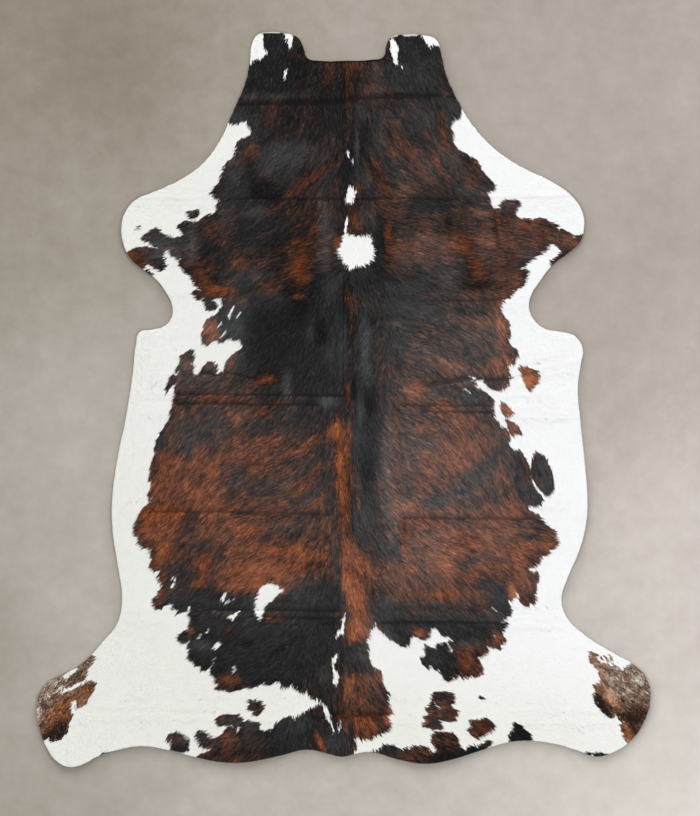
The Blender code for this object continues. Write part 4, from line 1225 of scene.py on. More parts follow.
        (370, 640, 9, 10, 0, 0.06, 0.2), (331, 456, 6, 12, 0, -0.09, 0),
        (350, 482, 7, 24, 0, -0.13, 0), (368, 474, 7, 14, 0, 0, -0.25),
        (351, 618, 6, 8, 0, -0.15, 0), (350, 539, 7, 8, 0, -0.09, 0),
        (351, 617, 6, 8, 0, -0.05, 0.15), (368, 659, 8, 8, 0, 0.07, 0.1),
        (330, 718, 6, 8, 0, -0.08, 0), (389, 438, 7, 8, 0, 0.06, 0.1),
    ],
    "right flank": [
        (452, 485, 84, 105, 0, 0.23, 0.85), (445, 404, 9, 7, 0, 0.16, 0),
        (465, 422, 14, 8, 0, 0.14, 0), (428, 445, 12, 6, 0, -0.16, 0.2),
        (437, 500, 9, 6, 0, -0.12, 0.2), (424, 412, 4, 4, 0, -0.50, 0),
        (369, 462, 8, 46, 0, -0.54, 0), (349, 490, 3, 40, 0, 0.14, -0.3),
        (388, 462, 7, 50, 0, -0.08, 0.6), (405, 478, 11, 11, 0, 0.08, 0),
        (400, 575, 22, 22, 0, 0.12, 0.2), (470, 560, 60, 34, 0, 0.06, 0.2),
        (403, 505, 13, 6, 0, 0.06, 0.2), (471, 481, 24, 11, 145, -0.26, 0.3),
        (436, 504, 14, 7, 0, -0.16, 0.2), (518, 472, 32, 10, 65, -0.40, 0.3),
        (503, 474, 14, 4, 70, 0.20, 0), (545, 475, 10, 24, 0, -0.28, 0.45),
        (362, 522, 11, 20, 0, -0.26, 0.3), (387, 546, 8, 10, 0, -0.24, 0.3),
        (394, 520, 7, 22, 0, 0, 0.5), (405, 535, 4, 16, 0, 0.10, -0.6),
        (430, 550, 24, 34, 0, 0.08, 0.2), (455, 452, 26, 14, 0, 0.10, 0),
        (400, 508, 12, 5, 0, 0.22, 0.2), (395, 553, 7, 7, 0, -0.20, 0.1),
        (468, 565, 6, 6, 0, -0.20, 0.1), (488, 581, 9, 9, 0, -0.24, 0.2),
        (501, 600, 7, 9, 0, -0.34, 0.2), (515, 560, 20, 20, 0, 0.14, 0),
        (480, 535, 14, 12, 0, 0.10, 0), (430, 598, 50, 8, 0, 0.14, 0),
        (527, 536, 13, 4, 0, -0.26, 0.1), (532, 542, 26, 18, 0, 0.10, 0),
        (512, 592, 5, 9, 0, 0.40, 0), (445, 595, 12, 6, 0, 0.20, -0.3),
        (500, 605, 7, 14, 0, -0.40, 0.1), (530, 378, 9, 10, 0, 0.50, 0),
        (508, 409, 8, 7, 0, 0.22, 0.3), (513, 429, 7, 8, 0, 0.20, 0.3),
        (408, 460, 9, 56, 0, -0.13, 0.3), (434, 460, 16, 20, 0, 0.09, 0.1),
        (472, 512, 15, 18, 0, -0.13, 0), (520, 512, 15, 11, 0, 0.14, 0),
        (520, 465, 11, 18, 0, 0.10, -0.2), (548, 538, 10, 9, 0, 0.12, 0.1),
        (480, 575, 22, 11, 0, 0.16, -0.3), (531, 582, 9, 13, 0, 0.06, 0.3),
        (490, 598, 28, 7, 0, 0.09, 0.1), (352, 455, 2.5, 36, 0, 0.18, 0),
        (362, 500, 2.5, 26, 0, 0.12, 0), (489, 417, 10, 8, 0, -0.14, 0),
        (462, 438, 24, 9, 0, -0.07, 0), (430, 440, 10, 8, 0, 0, 0.25),
        (480, 480, 17, 8, 0, -0.08, 0), (528, 480, 9, 11, 0, 0.08, -0.1),
        (420, 525, 26, 6, 0, -0.03, -0.25), (462, 543, 18, 9, 0, 0, -0.35),
        (452, 560, 13, 8, 0, 0, -0.3), (531, 559, 9, 8, 0, -0.10, 0), (510, 518, 9, 8, 0, 0.08, 0),
        (388, 600, 9, 9, 0, 0.05, 0.25), (430, 576, 11, 8, 0, -0.09, 0),
        (528, 472, 10, 12, 0, 0.08, -0.2), (469, 537, 9, 8, 0, 0, -0.25),
        (430, 519, 10, 9, 0, 0, -0.2), (550, 478, 8, 9, 0, 0.08, 0), (411, 418, 8, 8, 0, -0.08, 0),
        (530, 518, 9, 8, 0, -0.07, 0.15), (510, 458, 8, 8, 0, 0.12, 0),
        (490, 498, 10, 8, 0, -0.10, 0), (500, 417, 12, 8, 0, -0.08, 0),
        (430, 519, 9, 8, 0, -0.07, 0), (531, 565, 9, 12, 0, -0.05, 0),
        (430, 418, 8, 8, 0, -0.06, 0.1), (509, 457, 8, 8, 0, 0.08, 0), (548, 478, 8, 8, 0, 0.10, 0),
        (450, 540, 9, 9, 0, -0.06, -0.1),
    ],
    "right rump": [
        (420, 604, 38, 5, 0, -0.20, 0.2), (388, 612, 10, 10, 0, -0.36, 0.3),
        (440, 710, 18, 20, 0, 0.14, 0.1), (440, 625, 48, 7, 0, -0.50, 0),
        (418, 631, 9, 6, 0, 0.60, 0), (470, 634, 22, 10, 0, -0.20, 0.1),
        (462, 651, 14, 8, 0, 0.16, 0), (468, 644, 14, 4, 0, 0, 0.5), (498, 640, 7, 6, 0, 0.40, 0),
        (440, 661, 14, 14, 0, -0.55, 0.1), (467, 660, 10, 14, 0, 0.30, -0.2),
        (402, 640, 8, 7, 0, -0.45, 0.1), (432, 722, 8, 8, 0, 0, 0.2),
        (447, 742, 12, 10, 0, 0.02, -0.1), (482, 728, 11, 8, 0, 0.22, -0.3),
        (520, 735, 12, 10, 0, -0.40, 0), (390, 749, 9, 5, 0, -0.45, 0.1),
        (412, 754, 14, 6, 0, 0.14, 0), (445, 758, 18, 5, 0, -0.35, 0),
        (478, 750, 12, 5, 0, -0.40, 0), (598, 756, 14, 5, 0, -0.40, 0),
        (505, 615, 10, 8, 0, 0.08, 0.2), (432, 702, 10, 9, 0, -0.16, 0),
        (426, 722, 5, 6, 0, 0.25, 0), (390, 750, 10, 4, 0, 0.15, 0.1), (440, 622, 46, 7, 0, 0, 0.2),
        (432, 662, 8, 11, 0, 0, 0.25), (490, 618, 12, 7, 0, 0.06, 0.25),
        (390, 753, 10, 4, 0, 0.12, 0.1), (431, 722, 7, 7, 0, -0.14, 0),
        (466, 656, 10, 8, 0, -0.10, 0.1), (512, 588, 14, 8, 0, 0.04, 0.1),
        (391, 640, 8, 8, 0, 0, 0.25), (390, 699, 8, 8, 0, -0.08, 0), (429, 640, 8, 8, 0, -0.07, 0),
    ],
}


def ovals(spots, rows):
    """The sums of soft ovals at each spot, one for each amount that a row ends with."""
    total = np.zeros((len(rows[0]) - 5, len(spots)))
    for left, top, half_wide, half_high, turn, *amounts in rows:
        c, s = math.cos(math.radians(turn)), math.sin(math.radians(turn))
        right, low = spots[:, 0] - left, spots[:, 1] - top
        along, over = (right * c + low * s) / half_wide, (low * c - right * s) / half_high
        total += np.outer(amounts, 1 / (1 + (along**2 + over**2) ** 2))
    return total


TONE_OVALS = [oval for region in TONES.values() for oval in region]
print(len(TONE_OVALS), "ovals of rust and gloss")

# %% [markdown]
# ## Creases
# Where the hide was folded, the hair parts or lies down, which draws a thin line. The groove
# and the locks that end there are real shape; the darkening of the hair's colour along the
# line is painted shade, and a negative shade is a painted highlight on the light side of a
# fold. Each row gives the line's ends, its half width, how much painted shade it lays on the
# hair, and how deep its groove is.

# %% Crease table
CREASES = (
    # from left, top, to left, top, half width, shade, groove in metres
    (226, 104, 285, 103, 1.8, 0.50, 0.0012), (285, 102, 347, 101, 3.6, 0.80, 0.0018),
    (226, 96, 305, 96, 2.0, -0.26, 0.0), (345, 98, 415, 96, 1.8, 0.60, 0.0012),
    (385, 96, 442, 95, 2.4, 0.75, 0.0018), (446, 96, 466, 97, 1.6, 0.30, 0.0008),
    (375, 101, 440, 101, 1.6, -0.25, 0.0), (438, 102, 441, 130, 1.4, 0.45, 0.0008),
    (128, 199, 235, 199, 1.4, 0.16, 0.0004), (235, 201, 300, 201, 1.3, -0.30, 0.0),
    (235, 198, 345, 198, 1.4, 0.32, 0.0006), (345, 198, 420, 198, 1.4, 0.30, 0.0006),
    (420, 199, 457, 199, 1.8, 0.65, 0.0014), (457, 199, 586, 197, 1.4, 0.25, 0.0006),
    (160, 297, 190, 297, 1.4, 0.12, 0.0004), (430, 301, 480, 300, 1.6, 0.55, 0.0012),
    (480, 300, 505, 298, 1.6, 0.40, 0.0008), (505, 298, 548, 297, 1.4, 0.12, 0.0004),
    (192, 371, 222, 375, 1.3, 0.60, 0.0010), (222, 371, 262, 379, 1.4, 0.50, 0.0010),
    (172, 394, 210, 394, 1.6, 0.65, 0.0012), (210, 394, 345, 395, 1.3, 0.35, 0.0008),
    (172, 403, 250, 403, 1.5, 0.60, 0.0010), (250, 404, 320, 404, 1.3, 0.45, 0.0008),
    (128, 400, 172, 400, 1.4, 0.08, 0.0004), (420, 387, 470, 378, 1.4, 0.60, 0.0012),
    (428, 384, 468, 376, 1.3, 0.40, 0.0008), (440, 385, 475, 382, 1.3, -0.30, 0.0),
    (470, 381, 512, 377, 1.6, 0.60, 0.0012), (512, 377, 538, 371, 1.5, 0.40, 0.0008),
    (538, 371, 582, 362, 1.4, 0.10, 0.0004), (400, 405, 495, 405, 1.5, 0.45, 0.0008),
    (420, 411, 495, 412, 1.5, 0.50, 0.0008), (495, 408, 572, 409, 1.4, 0.06, 0.0004),
    (150, 511, 240, 511, 2.2, 0.42, 0.0010), (240, 512, 330, 514, 1.8, 0.32, 0.0008),
    (108, 511, 140, 511, 1.4, 0.08, 0.0004), (400, 517, 545, 519, 1.8, 0.48, 0.0012),
    (545, 519, 590, 520, 1.4, 0.08, 0.0004), (400, 518, 399, 548, 1.3, 0.24, 0.0004),
    (399, 548, 380, 568, 1.5, 0.27, 0.0004), (190, 611, 300, 613, 1.6, -0.35, 0.0),
    (190, 609, 345, 610, 1.3, 0.30, 0.0006), (250, 616, 345, 618, 1.8, 0.35, 0.0010),
    (322, 623, 340, 622, 2.4, 0.60, 0.0012), (380, 615, 505, 614, 1.6, -0.40, 0.0),
    (400, 619, 500, 620, 1.3, -0.40, 0.0), (380, 622, 505, 622, 2.0, 0.50, 0.0014),
    (118, 613, 190, 613, 1.4, 0.05, 0.0004), (505, 620, 570, 620, 1.4, 0.05, 0.0004),
    (72, 709.4, 200, 711.5, 1.1, 0.14, 0.0006), (310, 717, 330, 717, 1.6, 0.60, 0.0010),
    (330, 715, 345, 716, 1.5, 0.40, 0.0008), (345, 716, 392, 714, 2.0, 0.34, 0.0010),
    (345, 62, 343, 180, 1.3, 0.30, 0.0008), (344, 275, 343, 405, 1.3, 0.45, 0.0010),
    (353, 378, 356, 402, 2.4, 0.60, 0.0014), (335, 418, 341, 540, 1.3, 0.18, 0.0005),
    (352, 415, 352, 545, 1.3, 0.30, 0.0006), (341, 640, 341, 750, 1.5, 0.50, 0.0008),
    (338, 690, 337, 750, 1.3, 0.40, 0.0006), (67.6, 736, 67.6, 768, 1.2, 0.12, 0.0005),
    (148, 734, 148, 748, 1.2, 0.10, 0.0004), (37, 704, 51, 706, 1.4, 0.50, 0.0008),
    (441, 201, 442, 236, 2.5, 0.27, 0.0), (457, 200, 459, 232, 2.2, 0.27, 0.0),
    (493, 204, 498, 250, 1.5, 0.40, 0.0004), (222, 205, 223, 262, 1.5, -0.25, 0.0),
    (222, 512, 300, 517, 1.5, 0.30, 0.0004), (352, 552, 378, 590, 2.0, 0.22, 0.0),
    (378, 590, 440, 609, 2.0, 0.25, 0.0),
)
CREASE_FADE, CREASE_ENDS = 0.12, 0.4     # a line fades towards its ends, to this strength
CREASE_WAVE = 0.7
CREASE_STRENGTH, CREASE_VARIES = 0.85, 0.35
CREASE_LIMITS = (-0.5, 0.88)


def creases(spots):
    """How much painted shade the creases lay on each spot, and how deep their grooves are there."""
    shade, groove = np.zeros(len(spots)), np.zeros(len(spots))
    waves = np.stack([speckle(spots, 11.0, 8.0), speckle(spots, 13.0, 9.0)], 1)
    waved = spots + CREASE_WAVE * waves
    strength = CREASE_STRENGTH + CREASE_VARIES * speckle(spots, 9.0, 5.0)
    for *line, half_width, dark, deep in CREASES:
        off, share = off_line(waved, *line)
        near = np.exp(-((off / half_width) ** 2)) * strength
        near *= np.clip(np.minimum(share, 1 - share) / CREASE_FADE, CREASE_ENDS, 1)
        shade += dark * near
        groove = np.maximum(groove, deep * near)
    return np.clip(shade, *CREASE_LIMITS), groove


print(len(CREASES), "crease lines")

# %% [markdown]
# ## The colour of every lock
# White hair is nearly even, with a faint warm or cool cast. Dark hair runs from black over
# brown to rust, by its level, and over the shoulders its brightest rust is dulled. A shank
# mixes dark, tan and cream hairs, lock by lock.

# %% Colours
def along_stops(level, stops):
    """Colours between hex stops, by level."""
    places = [place for place, _ in stops]
    parts = np.array([linear(code) for _, code in stops])
    return np.stack([np.interp(level, places, parts[:, i]) for i in range(3)], 1)


DARK_STOPS = (
    (-0.10, "#0d0d0e"), (0.15, "#171414"), (0.33, "#2f201a"), (0.52, "#55311f"), (0.72, "#80472a"),
    (1.0, "#a8633f"),
)
SHANK_STOPS = (
    (0.0, "#211917"), (0.3, "#54423a"), (0.6, "#8a7260"), (0.8, "#b09f90"), (1.0, "#ded8cf"),
)
# How much the level of rust changes with fine streaks, wider ones and luck, and in blotches.
FINE_RUST, WIDE_RUST, LUCK_RUST = 0.05, 0.04, 0.12
RUST_BLOTCHES = (
    # strength, cell in pixels, shift
    (0.035, 5.0, 2.0), (0.03, 10.0, 3.0), (0.04, 26.0, 4.0),
)
# Above this row the coat's rust is deeper, and past this level it brightens by less.
SHOULDER_ROW, SHOULDER_FADE, SHOULDER_RUST, SHOULDER_DULL = 305, 20, 0.48, 0.36
# Painted sheen greys the hair, more on some streaks and locks, and a few lucky locks get a painted
# glint anyway.
PAINTED_SHEEN_GREY, MOST_PAINTED_SHEEN = np.array([0.048, 0.049, 0.050]), 1.4
FINE_PAINTED_SHEEN, LUCK_PAINTED_SHEEN, LUCKY_PAINTED_GLINT = 0.16, 0.25, 0.34
# painted shade: where an oval's gloss is below zero, the colour is deepened by this filter
PAINTED_SHADE_FILTER = np.array([0.93, 0.70, 0.45])
LUCK_BROWN = 0.16
BASE_GRIZZLE, FINE_GRIZZLE, WIDE_GRIZZLE, LUCK_GRIZZLE = 0.42, 0.10, 0.06, 0.30
GRIZZLE_BLOTCHES = (0.05, 5.0, 6.0)      # strength, cell and shift, as for the rust
COLOUR_LIMITS = (0.002, 0.96)
WARM_WHITE, COOL_WHITE = linear("#e5e5de"), linear("#f0f0f0")
# White is this warm in this column, warmer to the left and below this row, and in patches.
# The warm white is also darker, so there the white is partly painted shade, where the light
# falls off.
WARMTH, WARM_COLUMN, WARM_SPAN = 0.35, 345, 450
WARM_ROW, WARM_FADE, WARM_PATCHES = 600, 150, 0.1
FINE_WHITE, LUCK_WHITE = 0.003, 0.006
SHANK_OVALS = (
    # left, top, half width, half height, turn in degrees, lightness, tan
    (51, 688, 12, 9, 0, 0.30, 0), (61, 732, 13, 8, 130, -0.60, 0), (63, 713, 12, 10, 0, -0.06, 1.0),
    (72, 700, 12, 7, 0, -0.06, 0.6), (86, 690, 8, 8, 0, -0.10, 0.8), (38, 712, 3, 8, 0, 0.5, 0),
    (44, 706, 8, 1.5, 5, -0.30, 0), (48, 722, 10, 9, 0, 0.02, 0.4),
    (48, 735, 9, 6, 120, -0.30, 0.5), (612, 699, 8, 4, 68, 0.60, 1.6),
    (602, 706, 14, 4.5, 58, -0.75, 0.2), (599, 692, 6, 7, 0, -0.16, 0.7),
    (628, 709, 14, 7, 0, -0.16, 0.2), (630, 718, 14, 4, 5, -0.35, 0.1),
    (626, 730, 8, 5, 58, -0.05, 1.2), (634, 729, 8, 5, 60, -0.35, 0.1),
    (632, 737, 5, 4, 0, 0.05, 1.2), (596, 658, 8, 5, 50, 0.02, 0.5), (640, 679, 7, 6, 0, 0.25, 0),
    (641, 716, 9, 9, 0, -0.28, 0.3), (618, 682, 18, 14, 0, 0.10, 0), (600, 668, 8, 8, 0, 0.10, 0.1),
    (612, 662, 12, 6, 0, 0.10, 0), (600, 676, 6, 8, 0, 0.10, 0.5),
)
SHANK_TAN, MOST_TAN = linear("#985b32"), 0.7
TAN_BASE, TAN_GAIN, TAN_LIMITS = 0.3, 1.4, (0.1, 1.5)      # tan is lighter on light locks
WAVE_CELL, WAVE_SIZE = 0.6, 0.45         # waves in a blotch's border, as shares of its cell


def blotches(spots, cell, shift):
    """Speckles with wavering borders, evened to a spread of 1."""
    waver = np.stack([speckle(spots, cell * WAVE_CELL, shift + step) for step in (1, 2)], 1)
    total = speckle(spots + waver * cell * WAVE_SIZE, cell, shift)
    return total / total.std()


def white_of(spots, luck, fine):
    """White hair: warmer and, with painted shade, darker on the left and at the hem; nearly even.
    """
    warm = WARMTH + (WARM_COLUMN - spots[:, 0]) / WARM_SPAN
    warm += np.clip((spots[:, 1] - WARM_ROW) / WARM_FADE, 0, 1)
    warm = np.clip(warm + WARM_PATCHES * speckle(spots, 60.0, 3.0), 0, 1)[:, None]
    white = COOL_WHITE * (1 - warm) + WARM_WHITE * warm
    return white * (1 + FINE_WHITE * fine + LUCK_WHITE * luck)[:, None]


def coat_colours(spots, luck, dark, shank):
    """The colour of the hair at each spot; luck is a random value from -1 to 1 for each lock."""
    fine, wide = streaks(spots, 1.4, 3.5, 0.0), streaks(spots, 3.0, 6.0, 1.0)
    rust, gloss = ovals(spots, TONE_OVALS)
    level = BASE_RUST + rust + FINE_RUST * fine + WIDE_RUST * wide
    level += sum(strength * blotches(spots, *cell) for strength, *cell in RUST_BLOTCHES)
    level += LUCK_RUST * luck
    upper = np.clip((SHOULDER_ROW - spots[:, 1]) / SHOULDER_FADE, 0, 1)
    level -= SHOULDER_DULL * upper * np.clip(level - SHOULDER_RUST, 0, None)
    brown = along_stops(level, DARK_STOPS)
    # painted shade and painted sheen from the ovals' gloss
    brown *= 1 - (1 - PAINTED_SHADE_FILTER) * np.clip(-gloss, 0, 1)[:, None]
    painted_glint = np.clip(gloss, 0, MOST_PAINTED_SHEEN) * (1 + FINE_PAINTED_SHEEN * fine + LUCK_PAINTED_SHEEN * luck)
    painted_glint += LUCKY_PAINTED_GLINT * np.clip(luck, 0, 1) ** 3
    brown = brown * (1 + LUCK_BROWN * luck)[:, None] + PAINTED_SHEEN_GREY * painted_glint[:, None]
    lightness, tan = ovals(spots, SHANK_OVALS)
    grizzle = BASE_GRIZZLE + lightness + FINE_GRIZZLE * fine + WIDE_GRIZZLE * wide
    grizzle += LUCK_GRIZZLE * luck
    grizzle += GRIZZLE_BLOTCHES[0] * blotches(spots, *GRIZZLE_BLOTCHES[1:])
    mixed = along_stops(grizzle, SHANK_STOPS)
    tan = np.clip(tan, 0, 1)[:, None] * MOST_TAN
    tan_light = np.clip(TAN_BASE + TAN_GAIN * grizzle, *TAN_LIMITS)[:, None]
    mixed = mixed * (1 - tan) + SHANK_TAN * tan_light * tan
    colours = np.where(dark[:, None], brown, white_of(spots, luck, fine))
    return np.clip(np.where(shank[:, None], mixed, colours), *COLOUR_LIMITS)


three = np.array([[290.0, 330.0], [250.0, 570.0], [130.0, 450.0]])
seen = coat_colours(three, np.zeros(3), *kind_of_coat(three))
print("saddle, loin and white:", seen.round(3).tolist())

# %% [markdown]
# ## Locks of hair
# A lock is a slim leaf of four corners: root, two shoulders and tip. Its ridge runs from root
# to tip, so it catches light on one side, and it rises towards its tip, so that each tip lies
# over the next roots, as shingles do. The roots stand on a jittered net over the whole hide.
# On the shanks the locks are shorter and sway more. A lock ends where it meets a sharp crease,
# and near the hem it is shortened until its tip ends at the cut edge.

# %% Roots, directions and lengths
LOCK_SEED = 5
LOCK_PITCH, ROOT_JITTER = 0.0038, 0.45   # the jitter is a share of the pitch
LOCK_LONG, LOCK_SHORTEST = (0.018, 0.026), 0.0055
LOCK_WIDE = (0.0032, 0.0042)
SWAY, SWAY_PATCHES = 0.20, 0.08          # how far locks turn off the hair's way, in radians
SHANK_SWAY, SHANK_SHORT = 1.8, 0.60      # the hair of the shanks is short and curly
TIP_OVERHANG = 0.0012
SHORTENINGS, SHORTENED = 9, 0.82         # near the hem, so many times by so much
SHARP_CREASE = 0.28            # a lock ends at a crease of at least this shade


def share_to_crease(starts, ends):
    """The share of each lock's length before it meets a sharp crease, or 1."""
    step, share = ends - starts, np.ones(len(starts))
    for left0, top0, left1, top1, _, dark, _ in CREASES:
        if dark >= SHARP_CREASE:
            gap, line = np.array([left0, top0]) - starts, (left1 - left0, top1 - top0)
            turned = step[:, 0] * line[1] - step[:, 1] * line[0]
            turned = np.where(np.abs(turned) < 1e-9, 1e-9, turned)
            on_lock = (gap[:, 0] * line[1] - gap[:, 1] * line[0]) / turned
            on_line = (gap[:, 0] * step[:, 1] - gap[:, 1] * step[:, 0]) / turned
            met = (on_lock > 0) & (on_lock < share) & (on_line > 0) & (on_line < 1)
            share = np.where(met, on_lock, share)
    return share


def tips_inside():
    """True for each lock whose tip doesn't reach past the cut edge."""
    return inside(roots + way * (longs - TIP_OVERHANG)[:, None], OUTLINE)


luck_of = np.random.default_rng(LOCK_SEED)
root_x, root_y = np.meshgrid(
    np.arange(LOW.x, HIGH.x, LOCK_PITCH), np.arange(LOW.y, HIGH.y, LOCK_PITCH)
)
roots = np.stack([root_x.ravel(), root_y.ravel()], 1)
roots += luck_of.uniform(-ROOT_JITTER, ROOT_JITTER, roots.shape) * LOCK_PITCH
roots = roots[inside(roots, OUTLINE)]
count = len(roots)
root_spots = spots_of(roots)
on_shank = kind_of_coat(root_spots)[1]
sway = SWAY * luck_of.standard_normal(count) + SWAY_PATCHES * speckle(root_spots, 5.0, 7.0)
sway = np.where(on_shank, SHANK_SWAY * sway, sway)
way = hair_way(root_spots) * (1, -1)
way = np.stack([
    way[:, 0] * np.cos(sway) - way[:, 1] * np.sin(sway),
    way[:, 0] * np.sin(sway) + way[:, 1] * np.cos(sway),
], 1)
longs = luck_of.uniform(*LOCK_LONG, count) * np.where(on_shank, SHANK_SHORT, 1.0)
before = share_to_crease(root_spots, spots_of(roots + way * longs[:, None]))
longs = np.maximum(longs * before, LOCK_SHORTEST)
for _ in range(SHORTENINGS):
    longs = np.where(tips_inside(), longs, longs * SHORTENED)
kept = tips_inside() | (longs > LOCK_SHORTEST)
roots, way, longs, root_spots = roots[kept], way[kept], longs[kept], root_spots[kept]
count = len(roots)
print(count, "locks; the shortest is", round(longs.min() * 1000, 1), "mm long")
print(int((before < 1).sum()), "locks end at a crease")

# %% Corners of every lock
SHOULDER = 0.40                # how far along the lock its widest place lies
TIP_BEND = 0.0018
TIP_RISE, SHORT_RISE = (0.0016, 0.0025), 0.35      # a short lock rises by less, to this share
FLAT_RISE, CALM_RISE = 0.45, 0.55                  # and so does calm hair
ROOT_DEPTH, SHOULDER_DROP, SHOULDER_ROLL = 0.0002, 0.00035, 0.00025
WHITE_CALM = 0.05              # white hair lies smoother than dark hair by this factor
COLOUR_AT = (0.44, 0.78)       # the share of a lock at which its colour is read
read_at = longs * luck_of.uniform(*COLOUR_AT, count) / PIXEL
colour_spots = root_spots + way * (1, -1) * read_at[:, None]
dark, shank = kind_of_coat(colour_spots)
calm = np.where(dark | shank, 1.0, WHITE_CALM)
cross = np.stack([-way[:, 1], way[:, 0]], 1)
half = luck_of.uniform(*LOCK_WIDE, count)[:, None] / 2
bend = luck_of.uniform(-TIP_BEND, TIP_BEND, count)[:, None]
tips = roots + way * longs[:, None] + cross * bend
middles = roots + way * (longs * SHOULDER)[:, None]
rise = luck_of.uniform(*TIP_RISE, count) * np.clip(longs / LOCK_LONG[0], SHORT_RISE, 1)
rise *= FLAT_RISE + CALM_RISE * calm
roll = luck_of.uniform(-SHOULDER_ROLL, SHOULDER_ROLL, count) * calm


def coat_floor(places):
    """Height of the leather's top under each place, less the crease grooves."""
    groove = creases(spots_of(places))[1]
    return read_net(net_heights, places[:, 0], places[:, 1]) + LEATHER - groove


shoulder_floor = coat_floor(middles) + SHOULDER * rise - SHOULDER_DROP * calm
lock_corners = np.zeros((count, 4, 3))
lock_corners[:, 0] = np.column_stack([roots, coat_floor(roots) - ROOT_DEPTH])
lock_corners[:, 1] = np.column_stack([middles + cross * half, shoulder_floor + roll])
lock_corners[:, 2] = np.column_stack([tips, coat_floor(tips) + rise])
lock_corners[:, 3] = np.column_stack([middles - cross * half, shoulder_floor - roll])
print("coat up to", round(lock_corners[:, :, 2].max() * 1000, 2), "mm")

# %% Colours of every lock
# painted shade along a lock: darker at the root, lighter at the tip
ROOT_SHADE, MIDDLE_SHADE, TIP_SHADE = 0.80, 0.94, 1.08
WHITE_SHADE_SHARE = 0.08       # how much of that shading white hair shows
# painted crease shade keeps some of the hair's red
CREASE_SHADE_TINT, WHITE_CREASE_SHARE = np.array([0.92, 1.02, 1.06]), 0.6
luck = luck_of.uniform(-1, 1, count)
lock_colours = coat_colours(colour_spots, luck, dark, shank)
shading_share = np.where(dark | shank, 1.0, WHITE_SHADE_SHARE)
corner_shades = np.array([ROOT_SHADE, MIDDLE_SHADE, TIP_SHADE, MIDDLE_SHADE])
lock_shades = 1 + (corner_shades - 1) * shading_share[:, None]
lock_shades = np.repeat(lock_shades[:, :, None], 3, axis=2)
crease_share = np.where(dark | shank, 1.0, WHITE_CREASE_SHARE)[:, None] * CREASE_SHADE_TINT
# painted crease shade at each corner of a lock
for corner in range(4):
    crease_shade = creases(spots_of(lock_corners[:, corner, :2]))[0]
    lock_shades[:, corner] *= 1 - crease_shade[:, None] * crease_share
print("mean colour", lock_colours.mean(0).round(3).tolist())

# %% [markdown]
# The locks are gathered in five pieces, band after band down the hide, because a mesh of a
# million faces is clumsy. Each lock carries its colour with painted shade in it, a little
# darker at the root, lighter at the tip and darker along the creases, and a hair coordinate:
# across, along, and a number of its own, from which the material draws single hairs. Its map
# gives every lock a cell of its own.

# %% Meshes of the coat
BANDS = ("coat_neck", "coat_shoulders", "coat_back", "coat_loin", "coat_rump")
LOCK_FACES = np.array([(0, 2, 1), (0, 3, 2), (0, 1, 3), (1, 2, 3)])
HAIR_SPOTS = np.array([(0.0, 0.0), (-1.0, 0.4), (0.0, 1.0), (1.0, 0.4)])
OWN_STEP, OWN_SPAN = 0.37, 50
UPPER_CELL = np.array([(0.30, 0.05), (0.05, 0.42), (0.30, 0.95), (0.55, 0.42)])
UNDER_CELL = np.array([(0.78, 0.05), (0.64, 0.42), (0.78, 0.95), (0.92, 0.42)])


def lock_mesh(name, picked):
    """One mesh of the picked locks, with its colours, hair coordinates and map."""
    number = len(picked)
    mesh = bpy.data.meshes.new(name)
    mesh.vertices.add(4 * number)
    mesh.vertices.foreach_set("co", lock_corners[picked].ravel())
    mesh.loops.add(12 * number)
    mesh.polygons.add(4 * number)
    faces = LOCK_FACES + 4 * np.arange(number)[:, None, None]
    mesh.polygons.foreach_set("loop_start", np.arange(4 * number) * 3)
    mesh.loops.foreach_set("vertex_index", faces.ravel())
    mesh.update(calc_edges=True)
    mesh.shade_flat()
    tone = mesh.attributes.new("coat_colour", "FLOAT_COLOR", "POINT")
    shaded = np.clip(lock_colours[picked][:, None] * lock_shades[picked], 0, 1)
    tone.data.foreach_set("color", np.dstack([shaded, np.ones((number, 4, 1))]).ravel())
    hair = mesh.attributes.new("hair", "FLOAT_VECTOR", "POINT")
    own = np.broadcast_to((np.arange(number) * OWN_STEP % OWN_SPAN)[:, None, None], (number, 4, 1))
    spots = np.broadcast_to(HAIR_SPOTS, (number, 4, 2))
    hair.data.foreach_set("vector", np.dstack([spots, own]).ravel())
    lay_out_map(mesh, picked)
    return mesh


def lay_out_map(mesh, picked):
    """Gives each lock a cell of the map, in rows down the hide."""
    number = len(picked)
    columns = math.ceil(math.sqrt(number))
    row = np.empty(number, int)
    row[np.argsort(-roots[picked, 1], kind="stable")] = np.arange(number) // columns
    rank = np.empty(number, int)
    rank[np.lexsort((roots[picked, 0], row))] = np.arange(number)
    cell = np.column_stack([rank % columns, rank // columns])[:, None, None, :]
    per_face = np.concatenate([UPPER_CELL[LOCK_FACES[:2]], UNDER_CELL[LOCK_FACES[2:]]])
    layer = mesh.uv_layers.new(name="OFBake")
    layer.data.foreach_set("uv", ((cell + per_face) / columns).ravel())


coat = []
order = np.argsort(-roots[:, 1], kind="stable")
for name, picked in zip(BANDS, np.array_split(order, len(BANDS))):
    band = bpy.data.objects.new(name, lock_mesh(name, picked))
    bpy.context.scene.collection.objects.link(band)
    coat.append(band)
    print(name, len(band.data.polygons), "faces")

# %% [markdown]
# ## Finishes
# One node group draws single hairs inside a lock: noise that is stretched along the lock and
# squeezed across it. It lightens and darkens the colour a little and gives the bump its
# height. A second group is the grain of raw leather, for the cut edge and the flesh side.

# %% Group: single hairs
def new_group(name, inputs, outputs):
    """A shader group with named sockets, what it is given, and the node of its result."""
    group = bpy.data.node_groups.new(name, "ShaderNodeTree")
    for direction, sockets in (("INPUT", inputs), ("OUTPUT", outputs)):
        for socket, kind in sockets.items():
            group.interface.new_socket(socket, in_out=direction, socket_type="NodeSocket" + kind)
    return group, add_node(group, "NodeGroupInput").outputs, add_node(group, "NodeGroupOutput")


